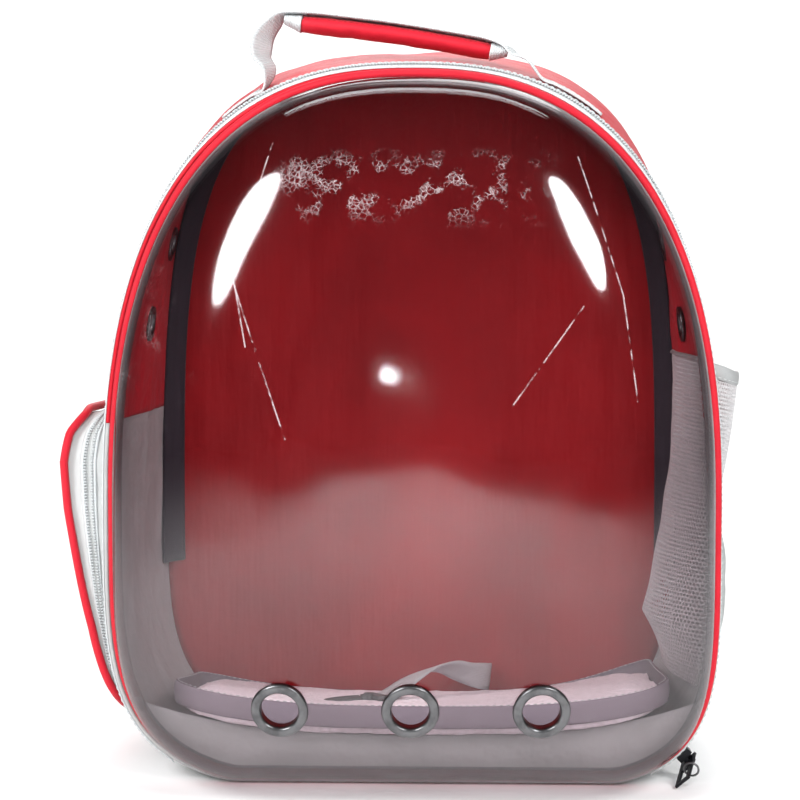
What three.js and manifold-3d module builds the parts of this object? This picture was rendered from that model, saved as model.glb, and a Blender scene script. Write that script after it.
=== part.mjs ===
// A bubble pet carrier backpack. A clear bulging dome with three air vents closes the front of a soft
// fabric body, which holds a floor mat and a tether. A zip pocket is on one side, a bottle net and a
// pouch on the other, a carrying handle on top and two padded shoulder straps behind.
// Millimetres, +Z up. The dome faces -Y, and the origin is the middle of the base's underside.
import * as THREE from 'three';
import { mergeVertices } from 'three/addons/utils/BufferGeometryUtils.js';
import Module from 'manifold-3d';

const wasm = await Module();
wasm.setup();

// Driving dimensions

const clearance = 0.3;
const seat = 1.5; // how deep a sewn-on piece is started inside the wall before the wall cuts it

// The outline of the piping, one superellipse above the widest level and one below it
const ring = {
  halfWidth: 178,
  midHeight: 160,
  rise: 258,
  drop: 162,
  floor: 4,
  topPower: 2.45,
  lowPowerLeft: 3.9,
  lowPowerRight: 4.7,
  shift: 0,
};

// The fabric body runs from the piping to a squarer, taller back
const bodyDepth = 172;
const bodyWall = 2.2;
const sideLip = 4;
const topLip = 2.6;
const bodyShift = -1.8;
const front = {
  ...ring,
  halfWidth: ring.halfWidth + sideLip,
  rise: ring.rise + topLip,
  drop: ring.drop + sideLip,
  floor: 0,
  shift: bodyShift,
};
const back = {
  ...front,
  halfWidth: 172,
  rise: 287,
  topPower: 3.2,
  lowPowerLeft: 4.2,
  lowPowerRight: 4.2,
  shift: 0,
};
const bodySwell = 4;
const sideTuck = 7;
const tuckHeight = 262;
const tuckReach = 95;
const colourSplit = 214;

// Dome
const domeDepth = 92;
const domeWall = 1.5;
const domePower = 2.9;
const domeInset = 2.8;
const domeTuck = 8;

// Metal eyelets in the dome and in the side walls
const eyelet = { bore: 10.5, barrel: 0.8, flange: 16, washer: 14.5, proud: 2.4, behind: 2.8 };
const ventSpacing = 72;
const ventHeight = 62;
const wallEyelet = { bore: 7.5, barrel: 0.8, flange: 12, washer: 11, proud: 2.0, behind: 2.2 };

// Piping and zips
const pipingRadius = 2.5;
const pipingTail = 9;
const zipWidth = 22;
const zipTape = 1.5;
const zipCoilWidth = 4.5;
const zipCoil = 1.0;
const zipStart = 0.107; // share of the outline, from the bottom middle, where the zip begins
const sliderShare = 0.122;

// Inside
const facingWidth = 22;
const facingThickness = 1.4;
const sillThickness = 7;
const bindingLeg = 11;
const matHalfWidth = 150;
const matShift = 4;
const matThickness = 16;
const matFrontHeight = 46;
const matBackHeight = 19;
const matFrontGap = 4; // the mat's front edge lies this far inside the dome
const matCorner = 34;
const matCurlLeft = 14;
const matCurlRight = 26;
const matBindingWidth = 3.2;
const matBindingProud = 0.8;
const matBindingDrop = 13;

// Side pieces
const pocketHeight = 179;
const pocketLow = 38;
const pocketWidth = 116;
const pocketStand = 29;
const pocketCorner = 26;
const pocketWall = 2.2;
const pocketCrown = 5;
const netWidth = 104;
const netLow = 166;
const netTop = 250;
const netStand = 27;
const netFloorStand = 7;
const netThickness = 1.4;
const netRimHeight = 10;
const netRimThickness = 2.6;
const pouchLow = 60;
const pouchHeight = 102;
const pouchWidth = 108;
const pouchStand = 11;
const pouchWall = 2.0;

// Handle
const webbingWidth = 21;
const webbingThickness = 1.6;
const gripWidth = 22;
const gripHeight = 11;
const handleSetback = 42;

// Back and shoulder straps
const backPanelWall = 3;
const padHalfWidth = 104;
const padLow = 48;
const padHeight = 338;
const padThickness = 11;
const padCorner = 46;
const strapWidth = 60;
const strapThickness = 11;
const strapWebbing = 25;

// Places that follow from the sizes
const ringY = -bodyDepth / 2;
const backY = bodyDepth / 2;
const loopCount = 56;
const bodyFrontY = ringY + pipingRadius + clearance;

// Materials
const look = (color, roughness, metalness = 0) => new THREE.MeshStandardMaterial({ color, roughness, metalness });
const clearPlastic = new THREE.MeshStandardMaterial({
  color: 0xf2eef0,
  roughness: 0.05,
  metalness: 0,
  transparent: true,
  opacity: 0.25,
});
const redFabric = look(0xb01c28, 0.7);
const redPiping = look(0xd02838, 0.55);
const redSatin = look(0x9c141c, 0.45);
const greyFabric = look(0x9a9c9c, 0.8);
const paleWebbing = look(0xc9cccf, 0.75);
const darkTape = look(0x332d37, 0.7);
const fleece = look(0xe4d7e4, 0.95);
const matEdge = look(0x8b8590, 0.8);
const gunmetal = look(0x86868a, 0.3, 1);
const blackMetal = look(0x15151a, 0.35, 0.8);
const darkPlastic = look(0x4c4f4f, 0.5);
const netMesh = look(0xb9bbbb, 0.8);

const model = new THREE.Group();
model.name = 'bubble_pet_carrier_backpack';

// Geometry helpers

const vec = (x, y, z) => new THREE.Vector3(x, y, z);
const mix = (a, b, share) => a + (b - a) * share;
const clamp = THREE.MathUtils.clamp;

function geometryFrom(points, faces) {
  let volume = 0;
  for (const [a, b, c] of faces) {
    volume += points[a].dot(points[b].clone().cross(points[c]));
  }
  const turned = volume < 0 ? faces.map(([a, b, c]) => [a, c, b]) : faces;
  const geometry = new THREE.BufferGeometry();
  geometry.setAttribute('position', new THREE.Float32BufferAttribute(points.flatMap((p) => [p.x, p.y, p.z]), 3));
  geometry.setIndex(turned.flat());
  return geometry;
}

// A skin over rings of points; an open run is closed at both ends by fans, a closed run joins up
function loft(rings, closed = false) {
  const count = rings[0].length;
  const points = rings.flat();
  const faces = [];
  const spans = closed ? rings.length : rings.length - 1;
  for (let r = 0; r < spans; r += 1) {
    const here = r * count;
    const next = ((r + 1) % rings.length) * count;
    for (let c = 0; c < count; c += 1) {
      const d = (c + 1) % count;
      faces.push([here + c, here + d, next + d], [here + c, next + d, next + c]);
    }
  }
  if (!closed) {
    [0, rings.length - 1].forEach((r, end) => {
      const middle = points.length;
      points.push(rings[r].reduce((sum, p) => sum.add(p), vec(0, 0, 0)).divideScalar(count));
      for (let c = 0; c < count; c += 1) {
        const here = r * count + c;
        const next = r * count + ((c + 1) % count);
        faces.push(end ? [middle, here, next] : [middle, next, here]);
      }
    });
  }
  return geometryFrom(points, faces);
}

// A closed slab between two surfaces, each a function of two shares
function slab(outer, inner, across, along) {
  const points = [];
  const faces = [];
  const size = (across + 1) * (along + 1);
  const at = (side, i, j) => side * size + j * (across + 1) + i;
  [outer, inner].forEach((surface) => {
    for (let j = 0; j <= along; j += 1) {
      for (let i = 0; i <= across; i += 1) points.push(surface(i / across, j / along));
    }
  });
  const quad = (a, b, c, d) => faces.push([a, b, c], [a, c, d]);
  for (let j = 0; j < along; j += 1) {
    for (let i = 0; i < across; i += 1) {
      quad(at(0, i, j), at(0, i + 1, j), at(0, i + 1, j + 1), at(0, i, j + 1));
      quad(at(1, i, j), at(1, i, j + 1), at(1, i + 1, j + 1), at(1, i + 1, j));
    }
    quad(at(0, 0, j), at(0, 0, j + 1), at(1, 0, j + 1), at(1, 0, j));
    quad(at(0, across, j + 1), at(0, across, j), at(1, across, j), at(1, across, j + 1));
  }
  for (let i = 0; i < across; i += 1) {
    quad(at(0, i + 1, 0), at(0, i, 0), at(1, i, 0), at(1, i + 1, 0));
    quad(at(0, i, along), at(0, i + 1, along), at(1, i + 1, along), at(1, i, along));
  }
  return geometryFrom(points, faces);
}

function toSolid(geometry) {
  const bare = geometry.clone();
  bare.deleteAttribute('normal');
  bare.deleteAttribute('uv');
  const merged = mergeVertices(bare, 1e-4);
  return new wasm.Manifold(
    new wasm.Mesh({
      numProp: 3,
      vertProperties: new Float32Array(merged.attributes.position.array),
      triVerts: new Uint32Array(merged.index.array),
    }),
  );
}

function toGeometry(solid) {
  const { vertProperties, triVerts } = solid.getMesh();
  const geometry = new THREE.BufferGeometry();
  geometry.setAttribute('position', new THREE.BufferAttribute(new Float32Array(vertProperties), 3));
  geometry.setIndex(new THREE.BufferAttribute(new Uint32Array(triVerts), 1));
  return geometry;
}

function addMesh(name, shape, material, parent = model) {
  const geometry = shape instanceof THREE.BufferGeometry ? shape : toGeometry(shape);
  geometry.computeVertexNormals();
  const mesh = new THREE.Mesh(geometry, material);
  mesh.name = name;
  parent.add(mesh);
  return mesh;
}

function boxSolid(low, high) {
  const box = new THREE.BoxGeometry(high.x - low.x, high.y - low.y, high.z - low.z);
  box.translate((low.x + high.x) / 2, (low.y + high.y) / 2, (low.z + high.z) / 2);
  return toSolid(box);
}

// A shape of revolution about an axis from a point, its profile in [radius, height along the axis]
function turned(profile, point, axis, sides) {
  const lathe = new THREE.LatheGeometry(profile.map(([r, h]) => new THREE.Vector2(r, h)), sides);
  const turn = new THREE.Quaternion().setFromUnitVectors(vec(0, 1, 0), axis.clone().normalize());
  lathe.applyQuaternion(turn);
  lathe.translate(point.x, point.y, point.z);
  const bare = mergeVertices(stripped(lathe), 1e-4);
  return toSolid(orientedOut(bare));
}

function stripped(geometry) {
  geometry.deleteAttribute('normal');
  geometry.deleteAttribute('uv');
  return geometry;
}

function orientedOut(geometry) {
  const position = geometry.attributes.position;
  const points = Array.from({ length: position.count }, (_, i) => vec(0, 0, 0).fromBufferAttribute(position, i));
  const faces = [];
  const index = geometry.index.array;
  for (let i = 0; i < index.length; i += 3) {
    const [a, b, c] = [index[i], index[i + 1], index[i + 2]];
    if (a !== b && b !== c && c !== a) faces.push([a, b, c]);
  }
  return geometryFrom(points, faces);
}

function cylinderSolid(radius, length, point, axis, sides = 20) {
  return turned([[0, -length / 2], [radius, -length / 2], [radius, length / 2], [0, length / 2]], point, axis, sides);
}

// Outlines of the dome ring and of the body

function outlinePoint(spec, turn) {
  const cos = Math.cos(turn);
  const sin = Math.sin(turn);
  const low = cos < 0 ? spec.lowPowerLeft : spec.lowPowerRight;
  const power = 2 / (sin > 0 ? spec.topPower : low);
  const x = spec.shift + Math.sign(cos) * spec.halfWidth * Math.abs(cos) ** power;
  const reach = sin > 0 ? spec.rise : spec.drop;
  const z = spec.midHeight + Math.sign(sin) * reach * Math.abs(sin) ** power;
  return { x, z: Math.max(z, spec.floor) };
}

// Points an equal distance apart round an outline, from the bottom middle towards +X
function outlineLoop(spec) {
  const fine = 900;
  const dense = [];
  for (let i = 0; i <= fine; i += 1) dense.push(outlinePoint(spec, -Math.PI / 2 + (i / fine) * 2 * Math.PI));
  const far = [0];
  for (let i = 1; i <= fine; i += 1) {
    far.push(far[i - 1] + Math.hypot(dense[i].x - dense[i - 1].x, dense[i].z - dense[i - 1].z));
  }
  const loop = [];
  let at = 0;
  for (let i = 0; i < loopCount; i += 1) {
    const goal = (far[fine] * i) / loopCount;
    while (far[at + 1] < goal) at += 1;
    const share = (goal - far[at]) / Math.max(far[at + 1] - far[at], 1e-9);
    loop.push({ x: mix(dense[at].x, dense[at + 1].x, share), z: mix(dense[at].z, dense[at + 1].z, share) });
  }
  return loop;
}

// The loop moved outwards along its own normals
function offsetLoop(loop, out) {
  return loop.map((p, i) => {
    const a = loop[(i + loop.length - 1) % loop.length];
    const b = loop[(i + 1) % loop.length];
    const length = Math.hypot(b.x - a.x, b.z - a.z);
    return { x: p.x + ((b.z - a.z) / length) * out, z: p.z - ((b.x - a.x) / length) * out };
  });
}

const ringLoop = outlineLoop(ring);
const frontLoop = outlineLoop(front);
const backLoop = outlineLoop(back);

// Sections of the body: depth as a share of bodyDepth, swell of bodySwell, tuck of sideTuck
const bodySections = [
  { depth: 0.0, swell: 0.0, tuck: 0.0 },
  { depth: 0.14, swell: 0.45, tuck: 0.3 },
  { depth: 0.36, swell: 1.0, tuck: 0.8 },
  { depth: 0.62, swell: 1.0, tuck: 1.0 },
  { depth: 0.86, swell: 0.7, tuck: 0.45 },
  { depth: 1.0, swell: 0.0, tuck: 0.0 },
];

function fromTable(table, column, at, value) {
  const last = table.length - 1;
  if (value <= table[0][column]) return table[0][at];
  if (value >= table[last][column]) return table[last][at];
  const i = table.findIndex((row) => row[column] > value);
  const share = (value - table[i - 1][column]) / (table[i][column] - table[i - 1][column]);
  return mix(table[i - 1][at], table[i][at], share);
}

function bodyLoop(y, out = 0) {
  const depth = clamp((y - ringY) / bodyDepth, 0, 1);
  const swell = bodySwell * fromTable(bodySections, 'depth', 'swell', depth);
  const tuck = sideTuck * fromTable(bodySections, 'depth', 'tuck', depth);
  const plain = frontLoop.map((p, i) => ({
    x: mix(p.x, backLoop[i].x, depth),
    z: mix(p.z, backLoop[i].z, depth),
  }));
  const shaped = offsetLoop(plain, swell).map((p) => {
    const drawn = tuck * Math.exp(-(((p.z - tuckHeight) / tuckReach) ** 2));
    const side = clamp(p.x / back.halfWidth, -1, 1);
    return { x: p.x - side * Math.abs(side) * drawn, z: Math.max(p.z, front.floor) };
  });
  return offsetLoop(shaped, out);
}

const ring3 = (loop, y) => loop.map((p) => vec(p.x, y, p.z));

// The body's outer form as one block, grown by out, between two depths
function bodyBlock(out, fromY, toY) {
  const stations = bodySections.map((row) => ringY + row.depth * bodyDepth);
  const inside = stations.filter((y) => y > fromY + 0.5 && y < toY - 0.5);
  return toSolid(loft([fromY, ...inside, toY].map((y) => ring3(bodyLoop(y, out), y))));
}

// A point of the body's side wall at a depth and height, with its outward normal
function wallAt(side, y, z) {
  const loop = bodyLoop(y);
  for (let i = 0; i < loop.length; i += 1) {
    const a = loop[i];
    const b = loop[(i + 1) % loop.length];
    const crosses = (a.z - z) * (b.z - z) <= 0 && a.z !== b.z;
    if (crosses && Math.sign((a.x + b.x) / 2) === side) {
      const x = mix(a.x, b.x, (z - a.z) / (b.z - a.z));
      const length = Math.hypot(b.x - a.x, b.z - a.z);
      return { x, normal: vec((b.z - a.z) / length, 0, -(b.x - a.x) / length) };
    }
  }
  return { x: side * back.halfWidth, normal: vec(side, 0, 0) };
}

// A point of the body's top at a depth and a width, with its upward normal
function roofAt(x, y) {
  const loop = bodyLoop(y);
  for (let i = 0; i < loop.length; i += 1) {
    const a = loop[i];
    const b = loop[(i + 1) % loop.length];
    const crosses = (a.x - x) * (b.x - x) <= 0 && a.x !== b.x;
    if (crosses && a.z > ring.midHeight + ring.rise / 3) {
      return mix(a.z, b.z, (x - a.x) / (b.x - a.x));
    }
  }
  return ring.midHeight + ring.rise;
}

const outside = bodyBlock(clearance, ringY - 30, backY + 30);
const insideBody = bodyBlock(-bodyWall - clearance, bodyFrontY, backY - backPanelWall - clearance);
const wallZone = bodyBlock(clearance, bodyFrontY - clearance, backY + 30)
  .subtract(bodyBlock(-bodyWall - clearance, ringY - 40, backY + 40));

// Dome

const domeTurns = [0, 12, 24, 36, 48, 60, 70, 78, 84];

function domeBlock(out) {
  const rim = offsetLoop(ringLoop, out - domeInset);
  const rings = [ring3(rim, ringY + domeTuck)];
  domeTurns.forEach((degrees) => {
    const turn = THREE.MathUtils.degToRad(degrees);
    const shrink = Math.cos(turn) ** (2 / domePower);
    const reach = (domeDepth + out) * Math.sin(turn) ** (2 / domePower);
    rings.push(rim.map((p) => vec(p.x * shrink, ringY - reach, ring.midHeight + (p.z - ring.midHeight) * shrink)));
  });
  const geometry = loft(rings);
  const position = geometry.attributes.position;
  position.setY(position.count - 1, ringY - domeDepth - out);
  return toSolid(geometry);
}

// The dome's outer surface at a width and height, with its outward normal
function domeAt(x, z) {
  const depthAt = (px, pz) => {
    const power = pz > ring.midHeight ? ring.topPower : (ring.lowPowerLeft + ring.lowPowerRight) / 2;
    const reach = (pz > ring.midHeight ? ring.rise : ring.drop) - domeInset;
    const share = Math.abs(px / (ring.halfWidth - domeInset)) ** power + Math.abs((pz - ring.midHeight) / reach) ** power;
    return domeDepth * Math.max(1 - share ** (domePower / power), 0) ** (1 / domePower);
  };
  const step = 2;
  const dx = (depthAt(x + step, z) - depthAt(x - step, z)) / (2 * step);
  const dz = (depthAt(x, z + step) - depthAt(x, z - step)) / (2 * step);
  return { point: vec(x, ringY - depthAt(x, z), z), normal: vec(-dx, -1, -dz).normalize() };
}

// A metal eyelet through a wall: a flange outside, a barrel through the hole and a washer inside.
// The zone is the wall with its clearance, which shapes the two faces that clamp it.
function eyeletSolid(size, wall, zone, point, axis) {
  const outer = size.bore + size.barrel;
  const depth = wall + size.behind;
  const profile = [
    [size.bore, -depth],
    [size.washer, -depth],
    [size.washer, -wall / 2],
    [size.flange, -wall / 2],
    [size.flange, size.proud * 0.35],
    [size.flange - size.proud * 0.6, size.proud],
    [size.bore + size.proud * 0.6, size.proud],
    [size.bore, size.proud * 0.35],
    [size.bore, -depth],
  ];
  const gap = cylinderSolid(outer, depth * 4, point, axis);
  return turned(profile, point, axis, 20).subtract(zone.subtract(gap));
}

const eyeletHole = (size, point, axis) => cylinderSolid(size.bore + size.barrel + clearance, 24, point, axis);

const domeZone = domeBlock(clearance).subtract(domeBlock(-domeWall - clearance));
let shell = domeBlock(0).subtract(domeBlock(-domeWall).add(
  toSolid(loft([ringY, ringY + domeTuck + 5].map((y) => ring3(offsetLoop(ringLoop, -domeInset - domeWall), y)))),
));
[['left', -1], ['center', 0], ['right', 1]].forEach(([side, place]) => {
  const { point, normal } = domeAt(place * ventSpacing, ventHeight);
  shell = shell.subtract(eyeletHole(eyelet, point, normal));
  addMesh(`front_eyelet_${side}`, eyeletSolid(eyelet, domeWall, domeZone, point, normal), gunmetal);
});
addMesh('bubble_shell', shell, clearPlastic);

// Fabric body: a red upper part and a grey lower part, cut level

const wallTube = bodyBlock(0, bodyFrontY, backY).subtract(bodyBlock(-bodyWall, ringY - 10, backY + 10));
const far = 1000;
const above = boxSolid(vec(-far, -far, colourSplit + clearance / 2), vec(far, far, far));
const below = boxSolid(vec(-far, -far, -far), vec(far, far, colourSplit - clearance / 2));
let upperBody = wallTube.intersect(above);

// Wall eyelets over the mesh pouch: name, depth behind the ring and height over the pouch
const meshLow = 52;
const meshHeight = 200;
const wallEyelets = [
  { name: 'low', depth: 84, above: 19 },
  { name: 'high', depth: 128, above: 70 },
];
[['left', -1], ['right', 1]].forEach(([sideName, side]) => {
  wallEyelets.forEach(({ name, depth, above: lift }) => {
    const y = ringY + depth;
    const height = meshLow + meshHeight + lift;
    const wall = wallAt(side, y, height);
    const point = vec(wall.x, y, height);
    upperBody = upperBody.subtract(eyeletHole(wallEyelet, point, wall.normal));
    const solid = eyeletSolid(wallEyelet, bodyWall, wallZone, point, wall.normal);
    addMesh(`wall_eyelet_${sideName}_${name}`, solid, gunmetal);
  });
});
addMesh('upper_body', upperBody, redFabric);
addMesh('lower_body', wallTube.intersect(below), greyFabric);

// The back panel closes the tube of the body
const panelBlock = bodyBlock(-bodyWall - clearance, backY - backPanelWall, backY);
addMesh('back_panel', panelBlock.subtract(wallZone), redSatin);

// A strip that follows the loops: a section of [depth, out] points on a loop function of depth and out
function hoop(section, loopAt, from = 0, to = loopCount) {
  const columns = section.map(([depth, out]) => {
    const y = ringY + depth;
    return ring3(loopAt(y, out), y);
  });
  const closed = to - from >= loopCount;
  const rings = [];
  for (let i = from; i <= (closed ? to - 1 : to); i += 1) {
    rings.push(columns.map((column) => column[i % loopCount]));
  }
  return loft(rings, closed);
}

// Piping: a round cord in the seam, with a flat tail held between the dome and the body
const round = (degrees) => [
  pipingRadius * Math.sin(THREE.MathUtils.degToRad(degrees)),
  pipingRadius * Math.cos(THREE.MathUtils.degToRad(degrees)),
];
const tailOut = -domeInset + clearance * 1.5;
const pipingSection = [
  ...[-135, -90, -45, 0, 45, 78].map(round),
  [pipingTail, -clearance * 1.5],
  [pipingTail, tailOut],
  [pipingRadius * 0.4, tailOut],
  round(180),
];
const pipingLoop = (y, out) => offsetLoop(ringLoop, out);
addMesh('front_piping', toSolid(hoop(pipingSection, pipingLoop)).subtract(wallZone), redPiping);

// Zip round the dome, from one bottom corner over the top to the other, with its coil as a ridge
const zipFrom = Math.round(zipStart * loopCount);
const zipTo = loopCount - zipFrom;
const zipFrontEdge = pipingRadius + clearance * 1.5;
const zipTop = clearance + zipTape;
const coilEdge = (share) => zipFrontEdge + zipWidth / 2 + (share * zipCoilWidth) / 2;
const zipSection = [
  [zipFrontEdge, clearance],
  [zipFrontEdge, zipTop],
  [coilEdge(-1), zipTop],
  [coilEdge(-0.6), zipTop + zipCoil],
  [coilEdge(0.6), zipTop + zipCoil],
  [coilEdge(1), zipTop],
  [zipFrontEdge + zipWidth, zipTop],
  [zipFrontEdge + zipWidth, clearance],
];
addMesh('front_zip', toSolid(hoop(zipSection, bodyLoop, zipFrom, zipTo)).subtract(outside), paleWebbing);

// Floor mat: it slopes up from the back seam onto the sill, and its sides curl up the round corners
const matFrontY = ringY - matFrontGap;
const matBackY = backY - backPanelWall - clearance;

function matTop(x, y) {
  const forward = clamp((matBackY - y) / (matBackY - matFrontY), 0, 1);
  const side = (x - matShift) / matHalfWidth;
  const curl = side < 0 ? matCurlLeft : matCurlRight * mix(1, 0.55, forward);
  return mix(matBackHeight, matFrontHeight, forward) + curl * Math.abs(side) ** 3;
}

// Grey facing inside the dome rim, which stands up as a sill under the front of the mat
const facingFrom = pipingTail + clearance;
const facingInner = -bodyWall - clearance - facingThickness;
const facingSection = [
  [facingFrom, -bodyWall],
  [facingFrom, facingInner],
  [facingFrom + facingWidth, facingInner],
  [facingFrom + facingWidth, -bodyWall],
];
const sillEnds = ring.halfWidth * 0.95;
const sillMiddleY = ringY + facingFrom + sillThickness / 2;
const sillSteps = 20;
const sillShape = new THREE.Shape();
sillShape.moveTo(-sillEnds, 0);
sillShape.lineTo(sillEnds, 0);
for (let i = 0; i <= sillSteps; i += 1) {
  const x = mix(sillEnds, -sillEnds, i / sillSteps);
  sillShape.lineTo(x, matTop(x, sillMiddleY) - matThickness - clearance);
}
const sill = new THREE.ExtrudeGeometry(sillShape, { depth: sillThickness, bevelEnabled: false });
sill.rotateX(Math.PI / 2);
sill.translate(0, ringY + facingFrom + sillThickness, 0);
const facing = toSolid(hoop(facingSection, bodyLoop)).add(toSolid(orientedOut(mergeVertices(stripped(sill), 1e-4))));


// Dark binding in the rear seam, over the sides and the top
const bindingDepth = bodyDepth - backPanelWall - clearance;
const bindingOut = -bodyWall;
const bindingSection = [
  [bindingDepth, bindingOut],
  [bindingDepth - bindingLeg, bindingOut],
  [bindingDepth - bindingLeg, bindingOut - clearance - 1.6],
  [bindingDepth - bindingLeg * 0.45, bindingOut - bindingLeg * 0.45],
  [bindingDepth - 1.6, bindingOut - bindingLeg],
  [bindingDepth, bindingOut - bindingLeg],
];
const bindingFrom = Math.round(loopCount * 0.17);
const binding = hoop(bindingSection, bodyLoop, bindingFrom, loopCount - bindingFrom);
addMesh('rear_binding', toSolid(binding).intersect(insideBody), darkTape);

// A closed outline with round corners in two directions, as [a, b] from its middle
function roundedOutline(halfA, halfB, corner, perCorner) {
  const points = [];
  [[1, 1, 0], [-1, 1, 90], [-1, -1, 180], [1, -1, 270]].forEach(([a, b, start]) => {
    for (let i = 0; i <= perCorner; i += 1) {
      const turn = THREE.MathUtils.degToRad(start + (90 * i) / perCorner);
      points.push([
        a * (halfA - corner) + corner * Math.cos(turn),
        b * (halfB - corner) + corner * Math.sin(turn),
      ]);
    }
  });
  return points;
}

// Outline points with the long straight sides divided, so that the solid can bend
function divided(points, step) {
  return points.flatMap((p, i) => {
    const q = points[(i + 1) % points.length];
    const parts = Math.max(1, Math.round(Math.hypot(q[0] - p[0], q[1] - p[1]) / step));
    return Array.from({ length: parts }, (_, k) => [mix(p[0], q[0], k / parts), mix(p[1], q[1], k / parts)]);
  });
}

// A dished plate: rings shrink from the edge to the middle on the outer face and grow back on the inner
function dish(outline, shares, outer, inner) {
  const scaled = (share, face) => outline.map(([a, b]) => face(a * share, b * share, share));
  return loft([
    ...shares.map((share) => scaled(share, outer)),
    ...[...shares].reverse().map((share) => scaled(share, inner)),
  ]);
}

const matMidY = (matFrontY + matBackY) / 2;
const matHalfDepth = (matBackY - matFrontY) / 2;
const matOutline = divided(roundedOutline(matHalfWidth, matHalfDepth, matCorner, 4), 32);
const matInset = matBindingWidth + clearance;
const matInner = matOutline.map(([a, b]) => [a * (1 - matInset / matHalfWidth), b * (1 - matInset / matHalfDepth)]);
const onMat = (lift) => (a, b) => {
  const x = matShift + a;
  const y = matMidY + b;
  return vec(x, y, matTop(x, y) + lift);
};
const domeRoom = domeBlock(-domeWall - clearance * 2);
const cabinRoom = insideBody.add(domeRoom);
const mat = toSolid(dish(matInner, [0.25, 0.6, 0.85, 1], onMat(0), onMat(-matThickness)));
const underMat = toSolid(dish(matOutline, [0.25, 0.6, 0.85, 1], onMat(clearance), onMat(-matThickness - clearance)));
addMesh('front_facing', facing.intersect(insideBody).subtract(underMat), greyFabric);
addMesh('floor_mat', mat.intersect(cabinRoom), fleece);
const matRim = matOutline.map(([a, b], i) => {
  const [c, d] = matInner[i];
  const scale = 1 + clearance / matHalfDepth;
  const [e, f] = [c * scale, d * scale];
  const faces = [onMat(matBindingProud), onMat(matBindingProud - matBindingDrop)];
  return [faces[0](a, b), faces[0](e, f), faces[1](e, f), faces[1](a, b)];
});
addMesh('mat_binding', toSolid(loft(matRim, true)).intersect(cabinRoom), matEdge);

// A flat strap along rows of { at, across }: a rectangular section, its width along across
function strap(rows, width, thickness) {
  const rings = rows.map(({ at, across }, i) => {
    const before = rows[Math.max(i - 1, 0)].at;
    const after = rows[Math.min(i + 1, rows.length - 1)].at;
    const along = after.clone().sub(before).normalize();
    const side = across.clone().addScaledVector(along, -across.dot(along)).normalize();
    const up = side.clone().cross(along).normalize();
    const corner = (s, u) => at.clone().addScaledVector(side, (s * width) / 2).addScaledVector(up, (u * thickness) / 2);
    return [corner(-1, -1), corner(1, -1), corner(1, 1), corner(-1, 1)];
  });
  return loft(rings);
}

// Tether: webbing sewn into the rear floor seam, arching over the mat to a plastic snap hook
const tetherWidth = 18;
const tetherThickness = 1.5;
const tetherRest = tetherThickness / 2 + clearance;
// x, y and height over the mat, and the turn of the webbing about its own line
const tetherRoute = [
  { x: 48, y: 81.4, over: 9.5, turn: 84 },
  { x: 45, y: 72, over: 10, turn: 78 },
  { x: 39, y: 58, over: 12, turn: 64 },
  { x: 30, y: 44, over: 15, turn: 45 },
  { x: 20, y: 26, over: 19, turn: 30 },
  { x: 8, y: 6, over: 18, turn: 20 },
  { x: -4, y: -12, over: 12, turn: 10 },
  { x: -14, y: -26, over: 5, turn: 4 },
  { x: -22, y: -36, over: 1.2, turn: 0 },
];
const tetherFine = tetherRoute.flatMap((row, i) => {
  const next = tetherRoute[i + 1];
  if (!next) return [row];
  return [0, 1 / 3, 2 / 3].map((share) => ({
    x: mix(row.x, next.x, share),
    y: mix(row.y, next.y, share),
    over: mix(row.over, next.over, share),
    turn: mix(row.turn, next.turn, share),
  }));
});
const tetherRows = tetherFine.map(({ x, y, over, turn }) => {
  const lean = THREE.MathUtils.degToRad(turn);
  const across = vec(Math.cos(lean) * 0.72, -Math.cos(lean) * 0.7, Math.sin(lean));
  return { at: vec(x, y, matTop(x, y) + tetherRest + over), across };
});
addMesh('tether_strap', toSolid(strap(tetherRows, tetherWidth, tetherThickness)).subtract(underMat), paleWebbing);

// Snap hook: an eye that the webbing is sewn round, a neck and an oval hook with a straight gate
const hookLength = 34;
const hookWidth = 13;
const hookThickness = 5;
const hookWire = 3.4;
const hookEye = 22;
const hookShape = new THREE.Shape();
hookShape.absellipse(hookLength / 2, 0, hookLength / 2, hookWidth / 2, 0, 2 * Math.PI, false, 0);
const hookGap = new THREE.Path();
const gapHalf = hookLength / 2 - hookWire;
hookGap.absellipse(hookLength / 2, 0, gapHalf, hookWidth / 2 - hookWire, 0, 2 * Math.PI, true, 0);
hookShape.holes.push(hookGap);
const plate = (shape, depth, segments) => {
  const made = new THREE.ExtrudeGeometry(shape, { depth, bevelEnabled: false, curveSegments: segments });
  return toSolid(orientedOut(mergeVertices(stripped(made), 1e-4)));
};
const neckShape = new THREE.Shape();
neckShape.moveTo(hookLength - 2, -2.6);
neckShape.lineTo(hookLength + 7, -2.6);
neckShape.lineTo(hookLength + 7, 2.6);
neckShape.lineTo(hookLength - 2, 2.6);
const eyeShape = new THREE.Shape();
eyeShape.moveTo(hookLength + 6, -hookEye / 2);
eyeShape.lineTo(hookLength + 9.5, -hookEye / 2);
eyeShape.lineTo(hookLength + 9.5, hookEye / 2);
eyeShape.lineTo(hookLength + 6, hookEye / 2);
const hookTip = tetherRows[tetherRows.length - 1];
const hookSolid = plate(hookShape, hookThickness, 8).add(plate(neckShape, hookThickness, 1)).add(plate(eyeShape, hookThickness, 1));
const hookGeometry = toGeometry(hookSolid);
hookGeometry.translate(-(hookLength + 9.5), 0, -hookThickness / 2);
hookGeometry.rotateZ(THREE.MathUtils.degToRad(28));
hookGeometry.rotateX(THREE.MathUtils.degToRad(-6));
hookGeometry.translate(hookTip.at.x - 1.2, hookTip.at.y - 0.8, hookTip.at.z + hookThickness / 2 - 1);
const strapZone = toSolid(strap(tetherRows, tetherWidth + 1, tetherThickness + clearance * 2));
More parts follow.
